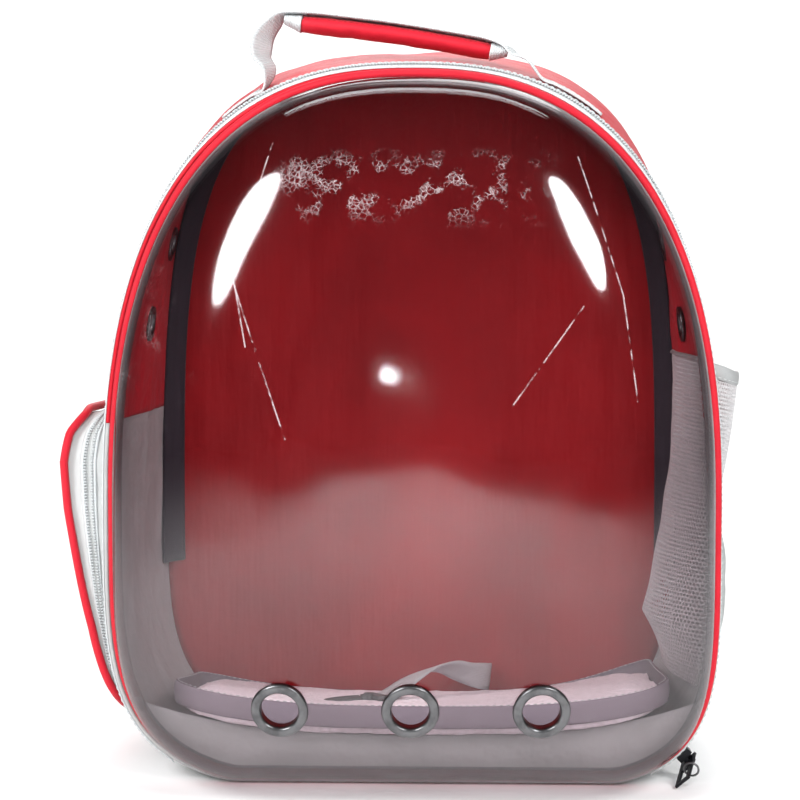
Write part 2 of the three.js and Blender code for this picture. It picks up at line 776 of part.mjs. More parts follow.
addMesh('tether_hook', toSolid(hookGeometry).subtract(underMat).subtract(strapZone), darkPlastic);

// Inner mesh pouch on the right wall: height as a share of its own, bulge of meshBulge
const meshBulge = 30;
const meshThickness = 1.4;
const meshDepth = 118;
const meshSections = [
  { height: 0.0, bulge: 0.35 },
  { height: 0.18, bulge: 1.0 },
  { height: 0.4, bulge: 0.72 },
  { height: 0.62, bulge: 0.4 },
  { height: 0.82, bulge: 0.2 },
  { height: 1.0, bulge: 0.0 },
];
const meshFrontY = ringY + facingFrom + facingWidth + 4;
function meshPoint(thick) {
  return (u, v) => {
    const y = meshFrontY + u * meshDepth;
    const z = meshLow + v * meshHeight;
    const bulge = meshBulge * fromTable(meshSections, 'height', 'bulge', v) * Math.sin(Math.PI * u) ** 0.8;
    return vec(wallAt(1, y, z).x - bodyWall + seat - bulge - thick, y, z);
  };
}
const meshSheet = slab(meshPoint(0), meshPoint(meshThickness + seat), 8, 10);
addMesh('inner_mesh', toSolid(meshSheet).intersect(insideBody), netMesh);

// Left side pocket: height as a share of pocketHeight, stand-off of pocketStand
const pocketSections = [
  { height: 0.0, stand: 0.3 },
  { height: 0.12, stand: 0.36 },
  { height: 0.28, stand: 0.46 },
  { height: 0.48, stand: 0.68 },
  { height: 0.68, stand: 0.9 },
  { height: 0.84, stand: 1.0 },
  { height: 0.94, stand: 0.93 },
  { height: 1.0, stand: 0.72 },
];
const left = -1;
const right = 1;
const pocketMidY = ringY + 86;
const pocketMidZ = pocketLow + pocketHeight / 2;
const pocketOutline = divided(roundedOutline(pocketWidth / 2, pocketHeight / 2, pocketCorner, 3), 30);

function pocketX(y, z, out) {
  const stand = pocketStand * fromTable(pocketSections, 'height', 'stand', (z - pocketLow) / pocketHeight);
  return wallAt(left, y, z).x - stand - out;
}

// A ring that follows the pocket's outline, its section in [outwards from the outline, share of stand, more out]
function pocketHoop(section) {
  const rings = pocketOutline.map(([a, b]) => section.map(([grow, share, more]) => {
    const scaleA = 1 + grow / (pocketWidth / 2);
    const scaleB = 1 + grow / (pocketHeight / 2);
    const y = pocketMidY + a * scaleA;
    const z = pocketMidZ + b * scaleB;
    const wall = wallAt(left, y, z).x;
    return vec(mix(wall, pocketX(y, clamp(z, pocketLow, pocketLow + pocketHeight), 0), share) - more, y, z);
  }));
  return toSolid(loft(rings, true));
}
const pocketGusset = pocketHoop([[0, 0, -seat], [0, 1, 0], [-pocketWall, 1, 0], [-pocketWall, 0, -seat]]);
addMesh('pocket_gusset', pocketGusset.subtract(outside), greyFabric);
const coilOut = clearance + 1.2;
addMesh('pocket_zip', pocketHoop([[clearance, 0.34, 0], [coilOut, 0.36, 0], [coilOut, 0.66, 0], [clearance, 0.68, 0]])
  .subtract(outside), paleWebbing);
const pocketFace = (out, crown) => (a, b, share) => {
  const y = pocketMidY + a;
  const z = pocketMidZ + b;
  return vec(pocketX(y, z, out + crown * (1 - share ** 2)), y, z);
};
const pocketPanel = dish(
  pocketOutline,
  [0.3, 0.65, 0.9, 1],
  pocketFace(clearance * 2 + pocketWall, pocketCrown),
  pocketFace(clearance * 2, pocketCrown),
);
addMesh('pocket_panel', pocketPanel, redFabric);
const pocketPipe = Array.from({ length: 8 }, (_, i) => {
  const turn = (i / 8) * 2 * Math.PI;
  const middle = pipingRadius + clearance;
  return [middle + pipingRadius * Math.cos(turn), 1, pipingRadius * Math.sin(turn)];
});
addMesh('pocket_piping', pocketHoop(pocketPipe).subtract(outside), redPiping);

// Bottle net: a basket of diamond net on the right wall, open at the top under a bound rim
const netMidY = ringY + 90;
const netHeight = netTop - netRimHeight - netLow;

function netPoint(share, z, out) {
  const turn = Math.PI * share;
  const rise = clamp((z - netLow) / (netTop - netLow), 0, 1);
  const stand = mix(netFloorStand, netStand, rise ** 0.8) * Math.sin(turn) ** 0.7;
  const half = (netWidth / 2) * mix(0.86, 1, rise);
  const y = netMidY - Math.cos(turn) * half;
  const level = z - 9 * rise * Math.sin(turn) ** 0.7;
  const outward = vec(Math.sin(turn) * half, -Math.cos(turn) * (stand + 20), 0).normalize();
  return vec(wallAt(right, y, level).x + stand, y, level).addScaledVector(outward, out);
}
const netColumns = 9;
const netRows = 7;
const netBends = 3;
const netShare = (u) => mix(0.02, 0.98, u);
const netLevel = (v) => netLow + v * (netHeight - clearance * 3);
const netSheet = slab(
  (u, v) => netPoint(netShare(u), netLevel(v), netThickness),
  (u, v) => netPoint(netShare(u), netLevel(v), 0),
  netColumns,
  netBends,
);
const netCut = netThickness * 2;
let netSolid = toSolid(netSheet);
for (let row = 0; row < netRows; row += 1) {
  const staggered = row % 2 ? 0.5 : 0;
  for (let column = 0; column < netColumns - (row % 2); column += 1) {
    const u = (column + 0.5 + staggered) / netColumns;
    const v = (row + 0.7) / (netRows + 0.4);
    const [du, dv] = [0.36 / netColumns, 0.66 / netRows];
    const ends = [-netCut, netThickness + netCut].map((out) => [[du, 0], [0, dv], [-du, 0], [0, -dv]]
      .map(([a, b]) => netPoint(netShare(u + a), netLevel(v + b), out)));
    netSolid = netSolid.subtract(toSolid(orientedOut(loft(ends))));
  }
}
addMesh('bottle_net', netSolid.subtract(outside), netMesh);
const rimSteps = 14;
const rimRings = Array.from({ length: rimSteps + 1 }, (_, i) => {
  const share = mix(0.01, 0.99, i / rimSteps);
  const low = netTop - netRimHeight;
  const out = (netThickness - netRimThickness) / 2;
  return [[low, out], [netTop, out], [netTop, out + netRimThickness], [low, out + netRimThickness]]
    .map(([z, o]) => netPoint(share, z, o));
});
addMesh('bottle_rim', toSolid(loft(rimRings)).subtract(outside), greyFabric);

// Grey zip pouch under the net
const pouchMidZ = pouchLow + pouchHeight / 2;
const pouchOutline = divided(roundedOutline(pouchWidth / 2, pouchHeight / 2, 30, 3), 30);
const pouchFace = (out) => (a, b, share) => {
  const y = netMidY + a;
  const z = pouchMidZ + b;
  return vec(wallAt(right, y, z).x + pouchStand * (1 - share ** 3) + out, y, z);
};
const pouch = dish(pouchOutline, [0.25, 0.5, 0.75, 0.9, 1], pouchFace(pouchWall), pouchFace(-seat * 0.2));
addMesh('lower_pouch', toSolid(pouch).subtract(outside), greyFabric);
const pouchZipY = netMidY - pouchWidth / 2 - 9;
const pouchZipPoint = (out) => (u, v) => {
  const y = pouchZipY + u * 7;
  const z = pouchLow + 6 + v * (pouchHeight + 30);
  return vec(wallAt(right, y, z).x + out, y, z);
};
addMesh('pouch_zip', toSolid(slab(pouchZipPoint(clearance + 1.6), pouchZipPoint(-seat), 2, 6)).subtract(outside), paleWebbing);

// Carrying handle: a padded grip under webbing that is sewn to both shoulders
const handleY = ringY + handleSetback;
const crest = ring.midHeight + ring.rise;
const gripLeft = vec(-68, handleY, crest + 33.5);
const gripRight = vec(45, handleY, crest + 16.8);
const gripSag = 1.6;
const gripSteps = 8;
const gripMiddle = (share) => gripLeft.clone().lerp(gripRight, share)
  .add(vec(0, 0, gripSag * Math.sin(Math.PI * share)));
const ovalRing = (middle, along, wide, high) => {
  const up = vec(0, 1, 0).cross(along).normalize().multiplyScalar(-1);
  return Array.from({ length: 10 }, (_, i) => {
    const turn = (i / 10) * 2 * Math.PI;
    return middle.clone().add(vec(0, (wide / 2) * Math.cos(turn), 0)).addScaledVector(up, (high / 2) * Math.sin(turn));
  });
};
const gripAlong = gripRight.clone().sub(gripLeft).normalize();
const gripRings = Array.from({ length: gripSteps + 1 }, (_, i) => {
  const end = i === 0 || i === gripSteps ? 0.86 : 1;
  return ovalRing(gripMiddle(i / gripSteps), gripAlong, gripWidth * end, gripHeight * end);
});
addMesh('handle_grip', toSolid(loft(gripRings)).subtract(outside), redPiping);

const gripUp = vec(0, 1, 0).cross(gripAlong).normalize().multiplyScalar(-1);
const webbingLift = gripHeight / 2 + clearance + webbingThickness / 2;
const overGrip = (share) => gripMiddle(share).addScaledVector(gripUp, webbingLift);
const onRoof = (x) => vec(x, handleY, roofAt(x, handleY) + webbingThickness / 2 + clearance);
// The free stretches of the webbing: place across, height over the crest, and turn about its own line
const leftLoop = [
  { x: -88, over: 7, turn: 18 },
  { x: -92.5, over: 15, turn: 34 },
  { x: -91.5, over: 25, turn: 38 },
  { x: -85, over: 34, turn: 24 },
  { x: -78, over: 39.5, turn: 10 },
];
const rightLoop = [
  { x: 53, over: 20.5, turn: 16 },
  { x: 60, over: 15.5, turn: 24 },
  { x: 68, over: 11.5, turn: 10 },
];
const flatAcross = vec(0, 1, 0.16);
const turnedRow = ({ x, over, turn }) => {
  const lean = THREE.MathUtils.degToRad(turn);
  return { at: vec(x, handleY, crest + over), across: vec(Math.sin(lean), Math.cos(lean), 0) };
};
const webbingRows = [
  ...[-116, -108, -99, -91].map((x) => ({ at: onRoof(x), across: flatAcross })),
  ...leftLoop.map(turnedRow),
  ...[0.04, 0.2, 0.4, 0.6, 0.8, 0.96].map((share) => ({ at: overGrip(share), across: vec(0, 1, 0) })),
  ...rightLoop.map(turnedRow),
  ...[76, 84, 94, 104, 112].map((x) => ({ at: onRoof(x), across: flatAcross })),
];
const webbing = toSolid(strap(webbingRows, webbingWidth, webbingThickness)).subtract(outside);
addMesh('handle_webbing', webbing, paleWebbing);

// Grey webbing wrapped round each end of the grip, under the strap
const wrapLength = 10;
const webbingZone = toSolid(strap(webbingRows, webbingWidth + 1, webbingThickness + clearance * 2));
[['left', gripLeft, -1], ['right', gripRight, 1]].forEach(([side, end, sign]) => {
  const rings = [0, 0.45, 1].map((share) => {
    const middle = end.clone().addScaledVector(gripAlong, sign * (clearance + share * wrapLength));
    middle.addScaledVector(gripUp, 1.6 * share);
    return ovalRing(middle, gripAlong, gripWidth * mix(0.9, 0.72, share), gripHeight * mix(0.95, 0.55, share));
  });
  addMesh(`handle_wrap_${side}`, toSolid(loft(rings)).subtract(webbingZone).subtract(outside), paleWebbing);
});

// Padded back panel, with a channel down its middle
const padMidZ = padLow + padHeight / 2;
const padOutline = divided(roundedOutline(padHalfWidth, padHeight / 2, padCorner, 4), 60);
const padFace = (a, b, share) => {
  const crown = padThickness * (1 - 0.55 * share ** 6);
  const channel = 0.3 * padThickness * Math.exp(-((a / 22) ** 2)) * (1 - share ** 2);
  return vec(a, backY + clearance + crown - channel, padMidZ + b);
};
const padBase = (a, b) => vec(a, backY + clearance, padMidZ + b);
const backPad = toSolid(dish(padOutline, [0.2, 0.5, 0.75, 0.92, 1], padFace, padBase));
addMesh('back_pad', backPad, greyFabric);
const bodySide = boxSolid(vec(-far, -far, -far), vec(far, backY + clearance, far));

// Shoulder straps: place across and up the back, and how far the strap stands off the pad
const strapStand = 36;
const strapSections = [
  { x: 34, z: 384, off: 0.0, width: 0.8 },
  { x: 36, z: 369, off: 0.03, width: 0.95 },
  { x: 42, z: 345, off: 0.4, width: 1.0 },
  { x: 52, z: 306, off: 0.86, width: 1.0 },
  { x: 66, z: 262, off: 1.0, width: 0.98 },
  { x: 80, z: 218, off: 0.86, width: 0.92 },
  { x: 92, z: 178, off: 0.58, width: 0.84 },
  { x: 101, z: 146, off: 0.36, width: 0.74 },
  { x: 106, z: 128, off: 0.26, width: 0.6 },
];
const strapEndThin = 0.6;

function strapAt(row) {
  const share = Math.max(row.x / padHalfWidth, Math.abs(row.z - padMidZ) / (padHeight / 2));
  const thick = row === strapSections[0] ? strapEndThin : 1;
  const surface = padFace(row.x, row.z - padMidZ, Math.min(share, 1)).y;
  return vec(row.x, surface + clearance * 2 + (strapThickness / 2) * thick + row.off * strapStand, row.z);
}

function paddedStrap() {
  const rings = strapSections.map((row, i) => {
    const middle = strapAt(row);
    const before = strapAt(strapSections[Math.max(i - 1, 0)]);
    const after = strapAt(strapSections[Math.min(i + 1, strapSections.length - 1)]);
    const along = after.sub(before).normalize();
    const across = vec(1, 0, 0).addScaledVector(along, -along.x).normalize();
    const up = across.clone().cross(along).normalize();
    const ends = i === 0 || i === strapSections.length - 1;
    const [half, thick] = [(strapWidth * row.width) / 2, (strapThickness / 2) * (ends ? strapEndThin : 1)];
    return [[-1, 0], [-0.86, -0.8], [0, -1], [0.86, -0.8], [1, 0], [0.86, 0.8], [0, 1], [-0.86, 0.8]]
      .map(([a, b]) => middle.clone().addScaledVector(across, a * half).addScaledVector(up, b * thick));
  });
  return loft(rings);
}

// Adjuster: a frame with two slots; the webbing passes behind its ends and over its middle bar
const adjuster = { width: 35, height: 23, thickness: 2.5, bar: 5, slot: 6 };
const adjusterZ = 96;
const adjusterX = 121;
const adjusterY = backY + 10.5;
const weave = 3.1;
const bottomAnchor = { x: 136, z: 40 };

// The adjuster's frame, grown on every face for the gap round it
function adjusterSolid(grow) {
  const half = adjuster.thickness / 2 + grow;
  const [wide, high] = [adjuster.width / 2 + grow, adjuster.height / 2 + grow];
  const slotHalf = (adjuster.width - 7) / 2 - grow;
  let frame = boxSolid(vec(-wide, -half, -high), vec(wide, half, high));
  [-1, 1].forEach((place) => {
    const low = place < 0 ? -adjuster.bar / 2 - adjuster.slot + grow : adjuster.bar / 2 + grow;
    const slotHigh = adjuster.slot - grow * 2;
    frame = frame.subtract(boxSolid(vec(-slotHalf, -half * 2, low), vec(slotHalf, half * 2, low + slotHigh)));
  });
  const geometry = toGeometry(frame);
  geometry.translate(adjusterX, adjusterY, adjusterZ);
  return toSolid(geometry);
}

const strapEnd = strapAt(strapSections[strapSections.length - 1]);
const webbingY = strapEnd.y - (strapThickness / 2) * strapEndThin - clearance - webbingThickness / 2;
const adjusterReach = adjuster.bar / 2 + adjuster.slot;
const anchorY = backY + clearance + webbingThickness / 2;
const downRows = [
  [strapEnd.x, webbingY + 1.2, strapEnd.z + 16],
  [strapEnd.x + 1, webbingY - 0.3, strapEnd.z - 4],
  [adjusterX, adjusterY - weave, adjusterZ + adjusterReach + 1],
  [adjusterX, adjusterY + weave, adjusterZ + adjuster.bar / 2],
  [adjusterX, adjusterY + weave, adjusterZ - adjuster.bar / 2],
  [adjusterX, adjusterY - weave, adjusterZ - adjusterReach - 1],
  [mix(adjusterX, bottomAnchor.x, 0.5), backY + 5.5, mix(adjusterZ, bottomAnchor.z, 0.55)],
  [bottomAnchor.x, anchorY, bottomAnchor.z + 12],
  [bottomAnchor.x + 3, anchorY, bottomAnchor.z],
].map(([x, y, z]) => ({ at: vec(x, y, z), across: vec(1, 0, 0) }));

function mirrored(solid) {
  const geometry = toGeometry(solid);
  geometry.scale(-1, 1, 1);
  return orientedOut(geometry);
}
const padded = toSolid(paddedStrap());
const downWebbing = toSolid(strap(downRows, strapWebbing, webbingThickness))
  .subtract(padded)
  .subtract(bodySide)
  .subtract(backPad)
  .subtract(adjusterSolid(clearance));
const strapPieces = [
  ['shoulder_strap', padded, redFabric],
  ['strap_webbing', downWebbing, paleWebbing],
  ['strap_adjuster', adjusterSolid(0), darkPlastic],
];
strapPieces.forEach(([name, solid, material]) => {
  addMesh(`${name}_right`, solid, material);
  addMesh(`${name}_left`, mirrored(solid), material);
});

// Zip slider at the lower right end of the front zip, with a bail that holds the pull
const sliderDepth = zipFrontEdge + zipWidth / 2;
const sliderSize = { along: 9, across: 10, high: 3.4 };
const sliderLow = zipTop + zipCoil + clearance + 0.9; // it stands over the tape's bend at the corner
const sliderPoint = (out) => {
  const loop = bodyLoop(ringY + sliderDepth, out);
  const place = sliderShare * loopCount;
  const [a, b] = [loop[Math.floor(place)], loop[Math.ceil(place)]];
  return vec(mix(a.x, b.x, place % 1), ringY + sliderDepth, mix(a.z, b.z, place % 1));
};
const sliderBase = sliderPoint(0);
const sliderOut = sliderPoint(1).sub(sliderBase).normalize();
const sliderAlong = vec(0, 1, 0).cross(sliderOut).normalize();
const sliderFrame = new THREE.Matrix4().makeBasis(sliderAlong, vec(0, 1, 0), sliderOut.clone());
sliderFrame.setPosition(sliderBase);
const inSlider = (geometry) => {
  geometry.applyMatrix4(sliderFrame);
  return toSolid(orientedOut(mergeVertices(stripped(geometry), 1e-4)));
};
const sliderBody = new THREE.BoxGeometry(sliderSize.along, sliderSize.across, sliderSize.high);
sliderBody.translate(0, 0, sliderLow + sliderSize.high / 2);
const pullTurn = THREE.MathUtils.degToRad(22);
const bailShape = new THREE.Shape();
const bail = { reach: 6.2, wire: 1.3, width: 3, gap: 7 };
bailShape.moveTo(-bail.gap / 2, -0.5);
bailShape.lineTo(-bail.gap / 2, bail.reach);
bailShape.lineTo(bail.gap / 2, bail.reach);
bailShape.lineTo(bail.gap / 2, -0.5);
bailShape.lineTo(bail.gap / 2 - bail.wire, -0.5);
bailShape.lineTo(bail.gap / 2 - bail.wire, bail.reach - bail.wire);
bailShape.lineTo(-bail.gap / 2 + bail.wire, bail.reach - bail.wire);
bailShape.lineTo(-bail.gap / 2 + bail.wire, -0.5);
const bailGeometry = new THREE.ExtrudeGeometry(bailShape, { depth: bail.width, bevelEnabled: false });
bailGeometry.translate(0, 0, -bail.width / 2);
bailGeometry.applyMatrix4(new THREE.Matrix4().makeBasis(vec(0, 1, 0), vec(0, 0, 1), vec(1, 0, 0)));
bailGeometry.rotateZ(pullTurn);
bailGeometry.translate(0, 0, sliderLow + sliderSize.high);
addMesh('zip_slider', inSlider(sliderBody).add(inSlider(bailGeometry)), blackMetal);

// Pull tab: its end bar lies in the bail, and it leans forwards on the floor
const pull = { length: 27, width: 11.5, thickness: 1.6, window: 12, frame: 2.6, eye: 3.6, bar: 3 };
const pivot = sliderBase.clone().addScaledVector(sliderOut, sliderLow + sliderSize.high + (bail.reach - bail.wire) / 2);
const pullDrop = THREE.MathUtils.degToRad(1.5);
const pullShape = new THREE.Shape();
pullShape.moveTo(-pull.width / 2, -pull.bar / 2);
pullShape.lineTo(pull.width / 2, -pull.bar / 2);
pullShape.lineTo(pull.width / 2, pull.length);
pullShape.lineTo(-pull.width / 2, pull.length);
const pullHole = (low, high, half) => {
  const hole = new THREE.Path();
  hole.moveTo(-half, low);
  hole.lineTo(-half, high);
  hole.lineTo(half, high);
  hole.lineTo(half, low);
  pullShape.holes.push(hole);
};
pullHole(pull.bar / 2, pull.bar / 2 + pull.eye, 2.2);
pullHole(pull.length - pull.frame - pull.window, pull.length - pull.frame, pull.width / 2 - pull.frame);
const pullGeometry = stripped(new THREE.ExtrudeGeometry(pullShape, { depth: pull.thickness, bevelEnabled: false }));
pullGeometry.translate(0, 0, -pull.thickness / 2);
const pullForward = vec(0, -1, 0).applyAxisAngle(sliderOut, pullTurn);
const pullAcross = sliderAlong.clone().applyAxisAngle(sliderOut, pullTurn);
const pullAlong = pullForward.multiplyScalar(Math.cos(pullDrop)).addScaledVector(sliderOut, Math.sin(pullDrop));
const pullNormal = pullAcross.clone().cross(pullAlong).normalize();
const pullFrame = new THREE.Matrix4().makeBasis(pullAcross, pullAlong, pullNormal).setPosition(pivot);
pullGeometry.applyMatrix4(pullFrame);
addMesh('zip_pull', toSolid(orientedOut(mergeVertices(pullGeometry, 1e-4))), blackMetal);

// A wire ring through the window of the pull
const wireRing = { radius: 4.3, wire: 0.75 };
const ringMiddle = pivot.clone()
  .addScaledVector(pullAlong, pull.length - pull.frame - pull.window / 2)
  .addScaledVector(pullAcross, -(pull.width / 2 + wireRing.radius - pull.frame - 1.6));
const wireProfile = Array.from({ length: 7 }, (_, i) => {
  const turn = (i / 6) * 2 * Math.PI;
  return [wireRing.radius + wireRing.wire * Math.cos(turn), wireRing.wire * Math.sin(turn)];
});
addMesh('pull_ring', turned(wireProfile, ringMiddle, pullAlong, 14), gunmetal);

export default model;
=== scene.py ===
"""Looks of a bubble pet carrier backpack, built over the packed part as a fixed frame."""

import math
from functools import lru_cache

import bmesh
import bpy
import numpy as np
from bpy.props import FloatProperty, FloatVectorProperty, IntProperty, PointerProperty
from mathutils import Matrix, Vector, noise


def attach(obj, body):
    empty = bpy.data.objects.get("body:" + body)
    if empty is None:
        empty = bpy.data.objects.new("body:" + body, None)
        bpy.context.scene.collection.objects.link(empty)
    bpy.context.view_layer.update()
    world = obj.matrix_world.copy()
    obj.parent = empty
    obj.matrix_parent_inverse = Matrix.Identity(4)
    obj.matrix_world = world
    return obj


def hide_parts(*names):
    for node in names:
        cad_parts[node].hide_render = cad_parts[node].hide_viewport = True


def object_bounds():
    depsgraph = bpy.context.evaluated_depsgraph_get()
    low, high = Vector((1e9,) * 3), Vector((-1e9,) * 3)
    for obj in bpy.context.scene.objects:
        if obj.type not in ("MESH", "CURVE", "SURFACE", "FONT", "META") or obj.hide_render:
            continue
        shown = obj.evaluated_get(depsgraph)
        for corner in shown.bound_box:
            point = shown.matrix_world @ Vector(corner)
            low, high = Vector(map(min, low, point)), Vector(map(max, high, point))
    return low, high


bl_info = {
    "name": "Bubble Pet Carrier Backpack",
    "version": (1, 0, 0),
    "blender": (4, 5, 0),
    "location": "View3D > Sidebar > Carrier",
    "description": "Builds a clear-fronted pet carrier backpack and its studio stage",
    "category": "Object",
}

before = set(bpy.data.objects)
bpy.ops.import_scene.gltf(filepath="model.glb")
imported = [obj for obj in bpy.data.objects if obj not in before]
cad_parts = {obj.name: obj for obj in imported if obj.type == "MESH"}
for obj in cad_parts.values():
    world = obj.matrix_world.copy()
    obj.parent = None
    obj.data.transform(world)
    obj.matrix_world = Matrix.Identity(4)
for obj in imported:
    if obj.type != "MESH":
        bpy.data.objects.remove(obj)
cad_low, cad_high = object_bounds()
cad_low, cad_high = list(cad_low), list(cad_high)

MM = 0.001
CARRIER = "carrier"

# The part's own sizes in millimetres, as its source names them
RING = {
    "half_width": 178, "mid": 160, "rise": 258, "drop": 162, "floor": 4,
    "top": 2.45, "low_left": 3.9, "low_right": 4.7, "shift": 0,
}
FRONT = {**RING, "half_width": 182, "rise": 260.6, "drop": 166, "floor": 0, "shift": -1.8}
BACK = {**FRONT, "half_width": 172, "rise": 287, "top": 3.2, "low_left": 4.2, "low_right": 4.2, "shift": 0}
BODY_DEPTH = 172
RING_Y = -BODY_DEPTH / 2
BACK_Y = BODY_DEPTH / 2
WALL = 2.2
SWELL = 4
TUCK = 7
TUCK_HEIGHT = 262
TUCK_REACH = 95
SPLIT = 214
DOME_DEPTH = 92
DOME_WALL = 1.5
DOME_POWER = 2.9
DOME_INSET = 2.8
DOME_TUCK = 8
PANEL_WALL = 3
GAP = 0.3
FINE = 224
# Depth behind the ring as a share, swell of SWELL, tuck of TUCK
SECTIONS = np.array([
    [0.0, 0.0, 0.0], [0.14, 0.45, 0.3], [0.36, 1.0, 0.8],
    [0.62, 1.0, 1.0], [0.86, 0.7, 0.45], [1.0, 0.0, 0.0],
])


# Outlines, all in millimetres

def outline(spec, count):
    """Points an equal distance apart, from the bottom middle towards +X."""
    turn = np.linspace(-math.pi / 2, 1.5 * math.pi, 6000)
    cos, sin = np.cos(turn), np.sin(turn)
    low = np.where(cos < 0, spec["low_left"], spec["low_right"])
    power = 2 / np.where(sin > 0, spec["top"], low)
    x = spec["shift"] + np.sign(cos) * spec["half_width"] * np.abs(cos) ** power
    reach = np.where(sin > 0, spec["rise"], spec["drop"])
    z = np.maximum(spec["mid"] + np.sign(sin) * reach * np.abs(sin) ** power, spec["floor"])
    far = np.concatenate([[0], np.cumsum(np.hypot(np.diff(x), np.diff(z)))])
    goal = np.arange(count) / count * far[-1]
    return np.stack([np.interp(goal, far, x), np.interp(goal, far, z)], 1)


def offset(loop, out):
    ahead = np.roll(loop, -1, 0) - np.roll(loop, 1, 0)
    ahead /= np.maximum(np.linalg.norm(ahead, axis=1, keepdims=True), 1e-9)
    return loop + np.stack([ahead[:, 1], -ahead[:, 0]], 1) * out


@lru_cache(maxsize=None)
def plain_loops(count):
    return outline(RING, count), outline(FRONT, count), outline(BACK, count)


@lru_cache(maxsize=None)
def body_loop(y, count=FINE):
    _, front, back = plain_loops(count)
    depth = min(max((y - RING_Y) / BODY_DEPTH, 0), 1)
    swell = SWELL * np.interp(depth, SECTIONS[:, 0], SECTIONS[:, 1])
    tuck = TUCK * np.interp(depth, SECTIONS[:, 0], SECTIONS[:, 2])
    loop = offset(front * (1 - depth) + back * depth, swell)
    side = np.clip(loop[:, 0] / BACK["half_width"], -1, 1)
    drawn = tuck * np.exp(-(((loop[:, 1] - TUCK_HEIGHT) / TUCK_REACH) ** 2))
    loop[:, 0] -= side * np.abs(side) * drawn
    loop[:, 1] = np.maximum(loop[:, 1], 0)
    return loop


def body_ring(y, out=0.0, count=FINE):
    """The body's outline at one depth, moved outwards, as points in space."""
    loop = offset(body_loop(round(float(y), 3), count), out)
    return np.stack([loop[:, 0], np.full(len(loop), y), loop[:, 1]], 1)


def wall_x(side, y, z):
    loop = body_loop(round(float(y), 3))
    points = loop[np.sign(loop[:, 0]) == side]
    points = points[np.argsort(points[:, 1])]
    return float(np.interp(z, points[:, 1], points[:, 0]))


def roof_z(x, y):
    loop = body_loop(round(float(y), 3))
    points = loop[loop[:, 1] > RING["mid"] + RING["rise"] / 3]
    points = points[np.argsort(points[:, 0])]
    return float(np.interp(x, points[:, 0], points[:, 1]))


def dome_depth(x, z):
    above = z > RING["mid"]
    power = RING["top"] if above else (RING["low_left"] + RING["low_right"]) / 2
    reach = (RING["rise"] if above else RING["drop"]) - DOME_INSET
    share = abs(x / (RING["half_width"] - DOME_INSET)) ** power + abs((z - RING["mid"]) / reach) ** power
    return DOME_DEPTH * max(1 - share ** (DOME_POWER / power), 0) ** (1 / DOME_POWER)


def dome_at(x, z):
    """A point on the clear dome and its outward direction."""
    dx = (dome_depth(x + 2, z) - dome_depth(x - 2, z)) / 4
    dz = (dome_depth(x, z + 2) - dome_depth(x, z - 2)) / 4
    return Vector((x, RING_Y - dome_depth(x, z), z)), Vector((-dx, -1, -dz)).normalized()


def ripple(x, y, z, size, seed):
    return noise.noise(Vector((x / size + seed * 7.3, y / size - seed * 3.1, z / size + seed)))


def smooth_path(points, count):
    """A smooth line through points, at equal distances."""
    points = np.array(points, float)
    padded = np.vstack([2 * points[0] - points[1], points, 2 * points[-1] - points[-2]])
    fine = []
    for i in range(1, len(padded) - 2):
        a, b, c, d = padded[i - 1:i + 3]
        for t in np.linspace(0, 1, 24, endpoint=False):
            fine.append(0.5 * (2 * b + (c - a) * t + (2 * a - 5 * b + 4 * c - d) * t ** 2
                               + (3 * b - a - 3 * c + d) * t ** 3))
    fine.append(points[-1])
    fine = np.array(fine)
    far = np.concatenate([[0], np.cumsum(np.linalg.norm(np.diff(fine, axis=0), axis=1))])
    goal = np.linspace(0, far[-1], count)
    return np.stack([np.interp(goal, far, fine[:, k]) for k in range(fine.shape[1])], 1)


# Meshes

def link(name, mesh):
    piece = bpy.data.objects.new(name, mesh)
    bpy.context.scene.collection.objects.link(piece)
    return piece


def skin(name, rows, closed_across=False, closed_along=False, caps=False, inside=None):
    """A surface over rows of points in millimetres, with its UV map in metres."""
    rows = np.array(rows, float)
    along, across = rows.shape[:2]
    count_u = across if closed_across else across - 1
    count_v = along if closed_along else along - 1
    faces, uvs = [], []
    step_u = np.linalg.norm(np.roll(rows, -1, 1) - rows, axis=2).mean(0)
    step_v = np.linalg.norm(np.roll(rows, -1, 0) - rows, axis=2).mean(1)
    u = np.concatenate([[0], np.cumsum(step_u)]) * MM
    v = np.concatenate([[0], np.cumsum(step_v)]) * MM
    for j in range(count_v):
        for i in range(count_u):
            i2, j2 = (i + 1) % across, (j + 1) % along
            faces.append((j * across + i, j * across + i2, j2 * across + i2, j2 * across + i))
            uvs.append(((u[i], v[j]), (u[i + 1], v[j]), (u[i + 1], v[j + 1]), (u[i], v[j + 1])))
    points = list(rows.reshape(-1, 3) * MM)
    if caps:
        for j in (0, along - 1):
            middle = len(points)
            points.append(rows[j].mean(0) * MM)
            for i in range(count_u):
                pair = (j * across + i, j * across + (i + 1) % across)
                faces.append((middle, *(pair if j else pair[::-1])))
                uvs.append(((u[i], v[j]), (u[i], v[j]), (u[i + 1], v[j])))
    mesh = bpy.data.meshes.new(name)
    mesh.from_pydata([tuple(p) for p in points], [], faces)
    layer = mesh.uv_layers.new(name="UVMap")
    flat = [c for face in uvs for corner in face for c in corner]
    layer.data.foreach_set("uv", flat)
    mesh.validate()
    piece = link(name, mesh)
    face_out(piece, inside)
    mesh.shade_smooth()
    return piece


def face_out(piece, inside=None):
    """Turns the faces to point away from a point inside, or outwards from a closed mesh."""
    work = bmesh.new()
    work.from_mesh(piece.data)
    if inside is None:
        volume = sum(
            f.calc_center_median().dot(f.normal) * f.calc_area() for f in work.faces
        )
    else:
        middle = Vector(inside) * MM
        volume = sum((f.calc_center_median() - middle).dot(f.normal) * f.calc_area() for f in work.faces)
    if volume < 0:
        bmesh.ops.reverse_faces(work, faces=work.faces)
    work.to_mesh(piece.data)
    work.free()


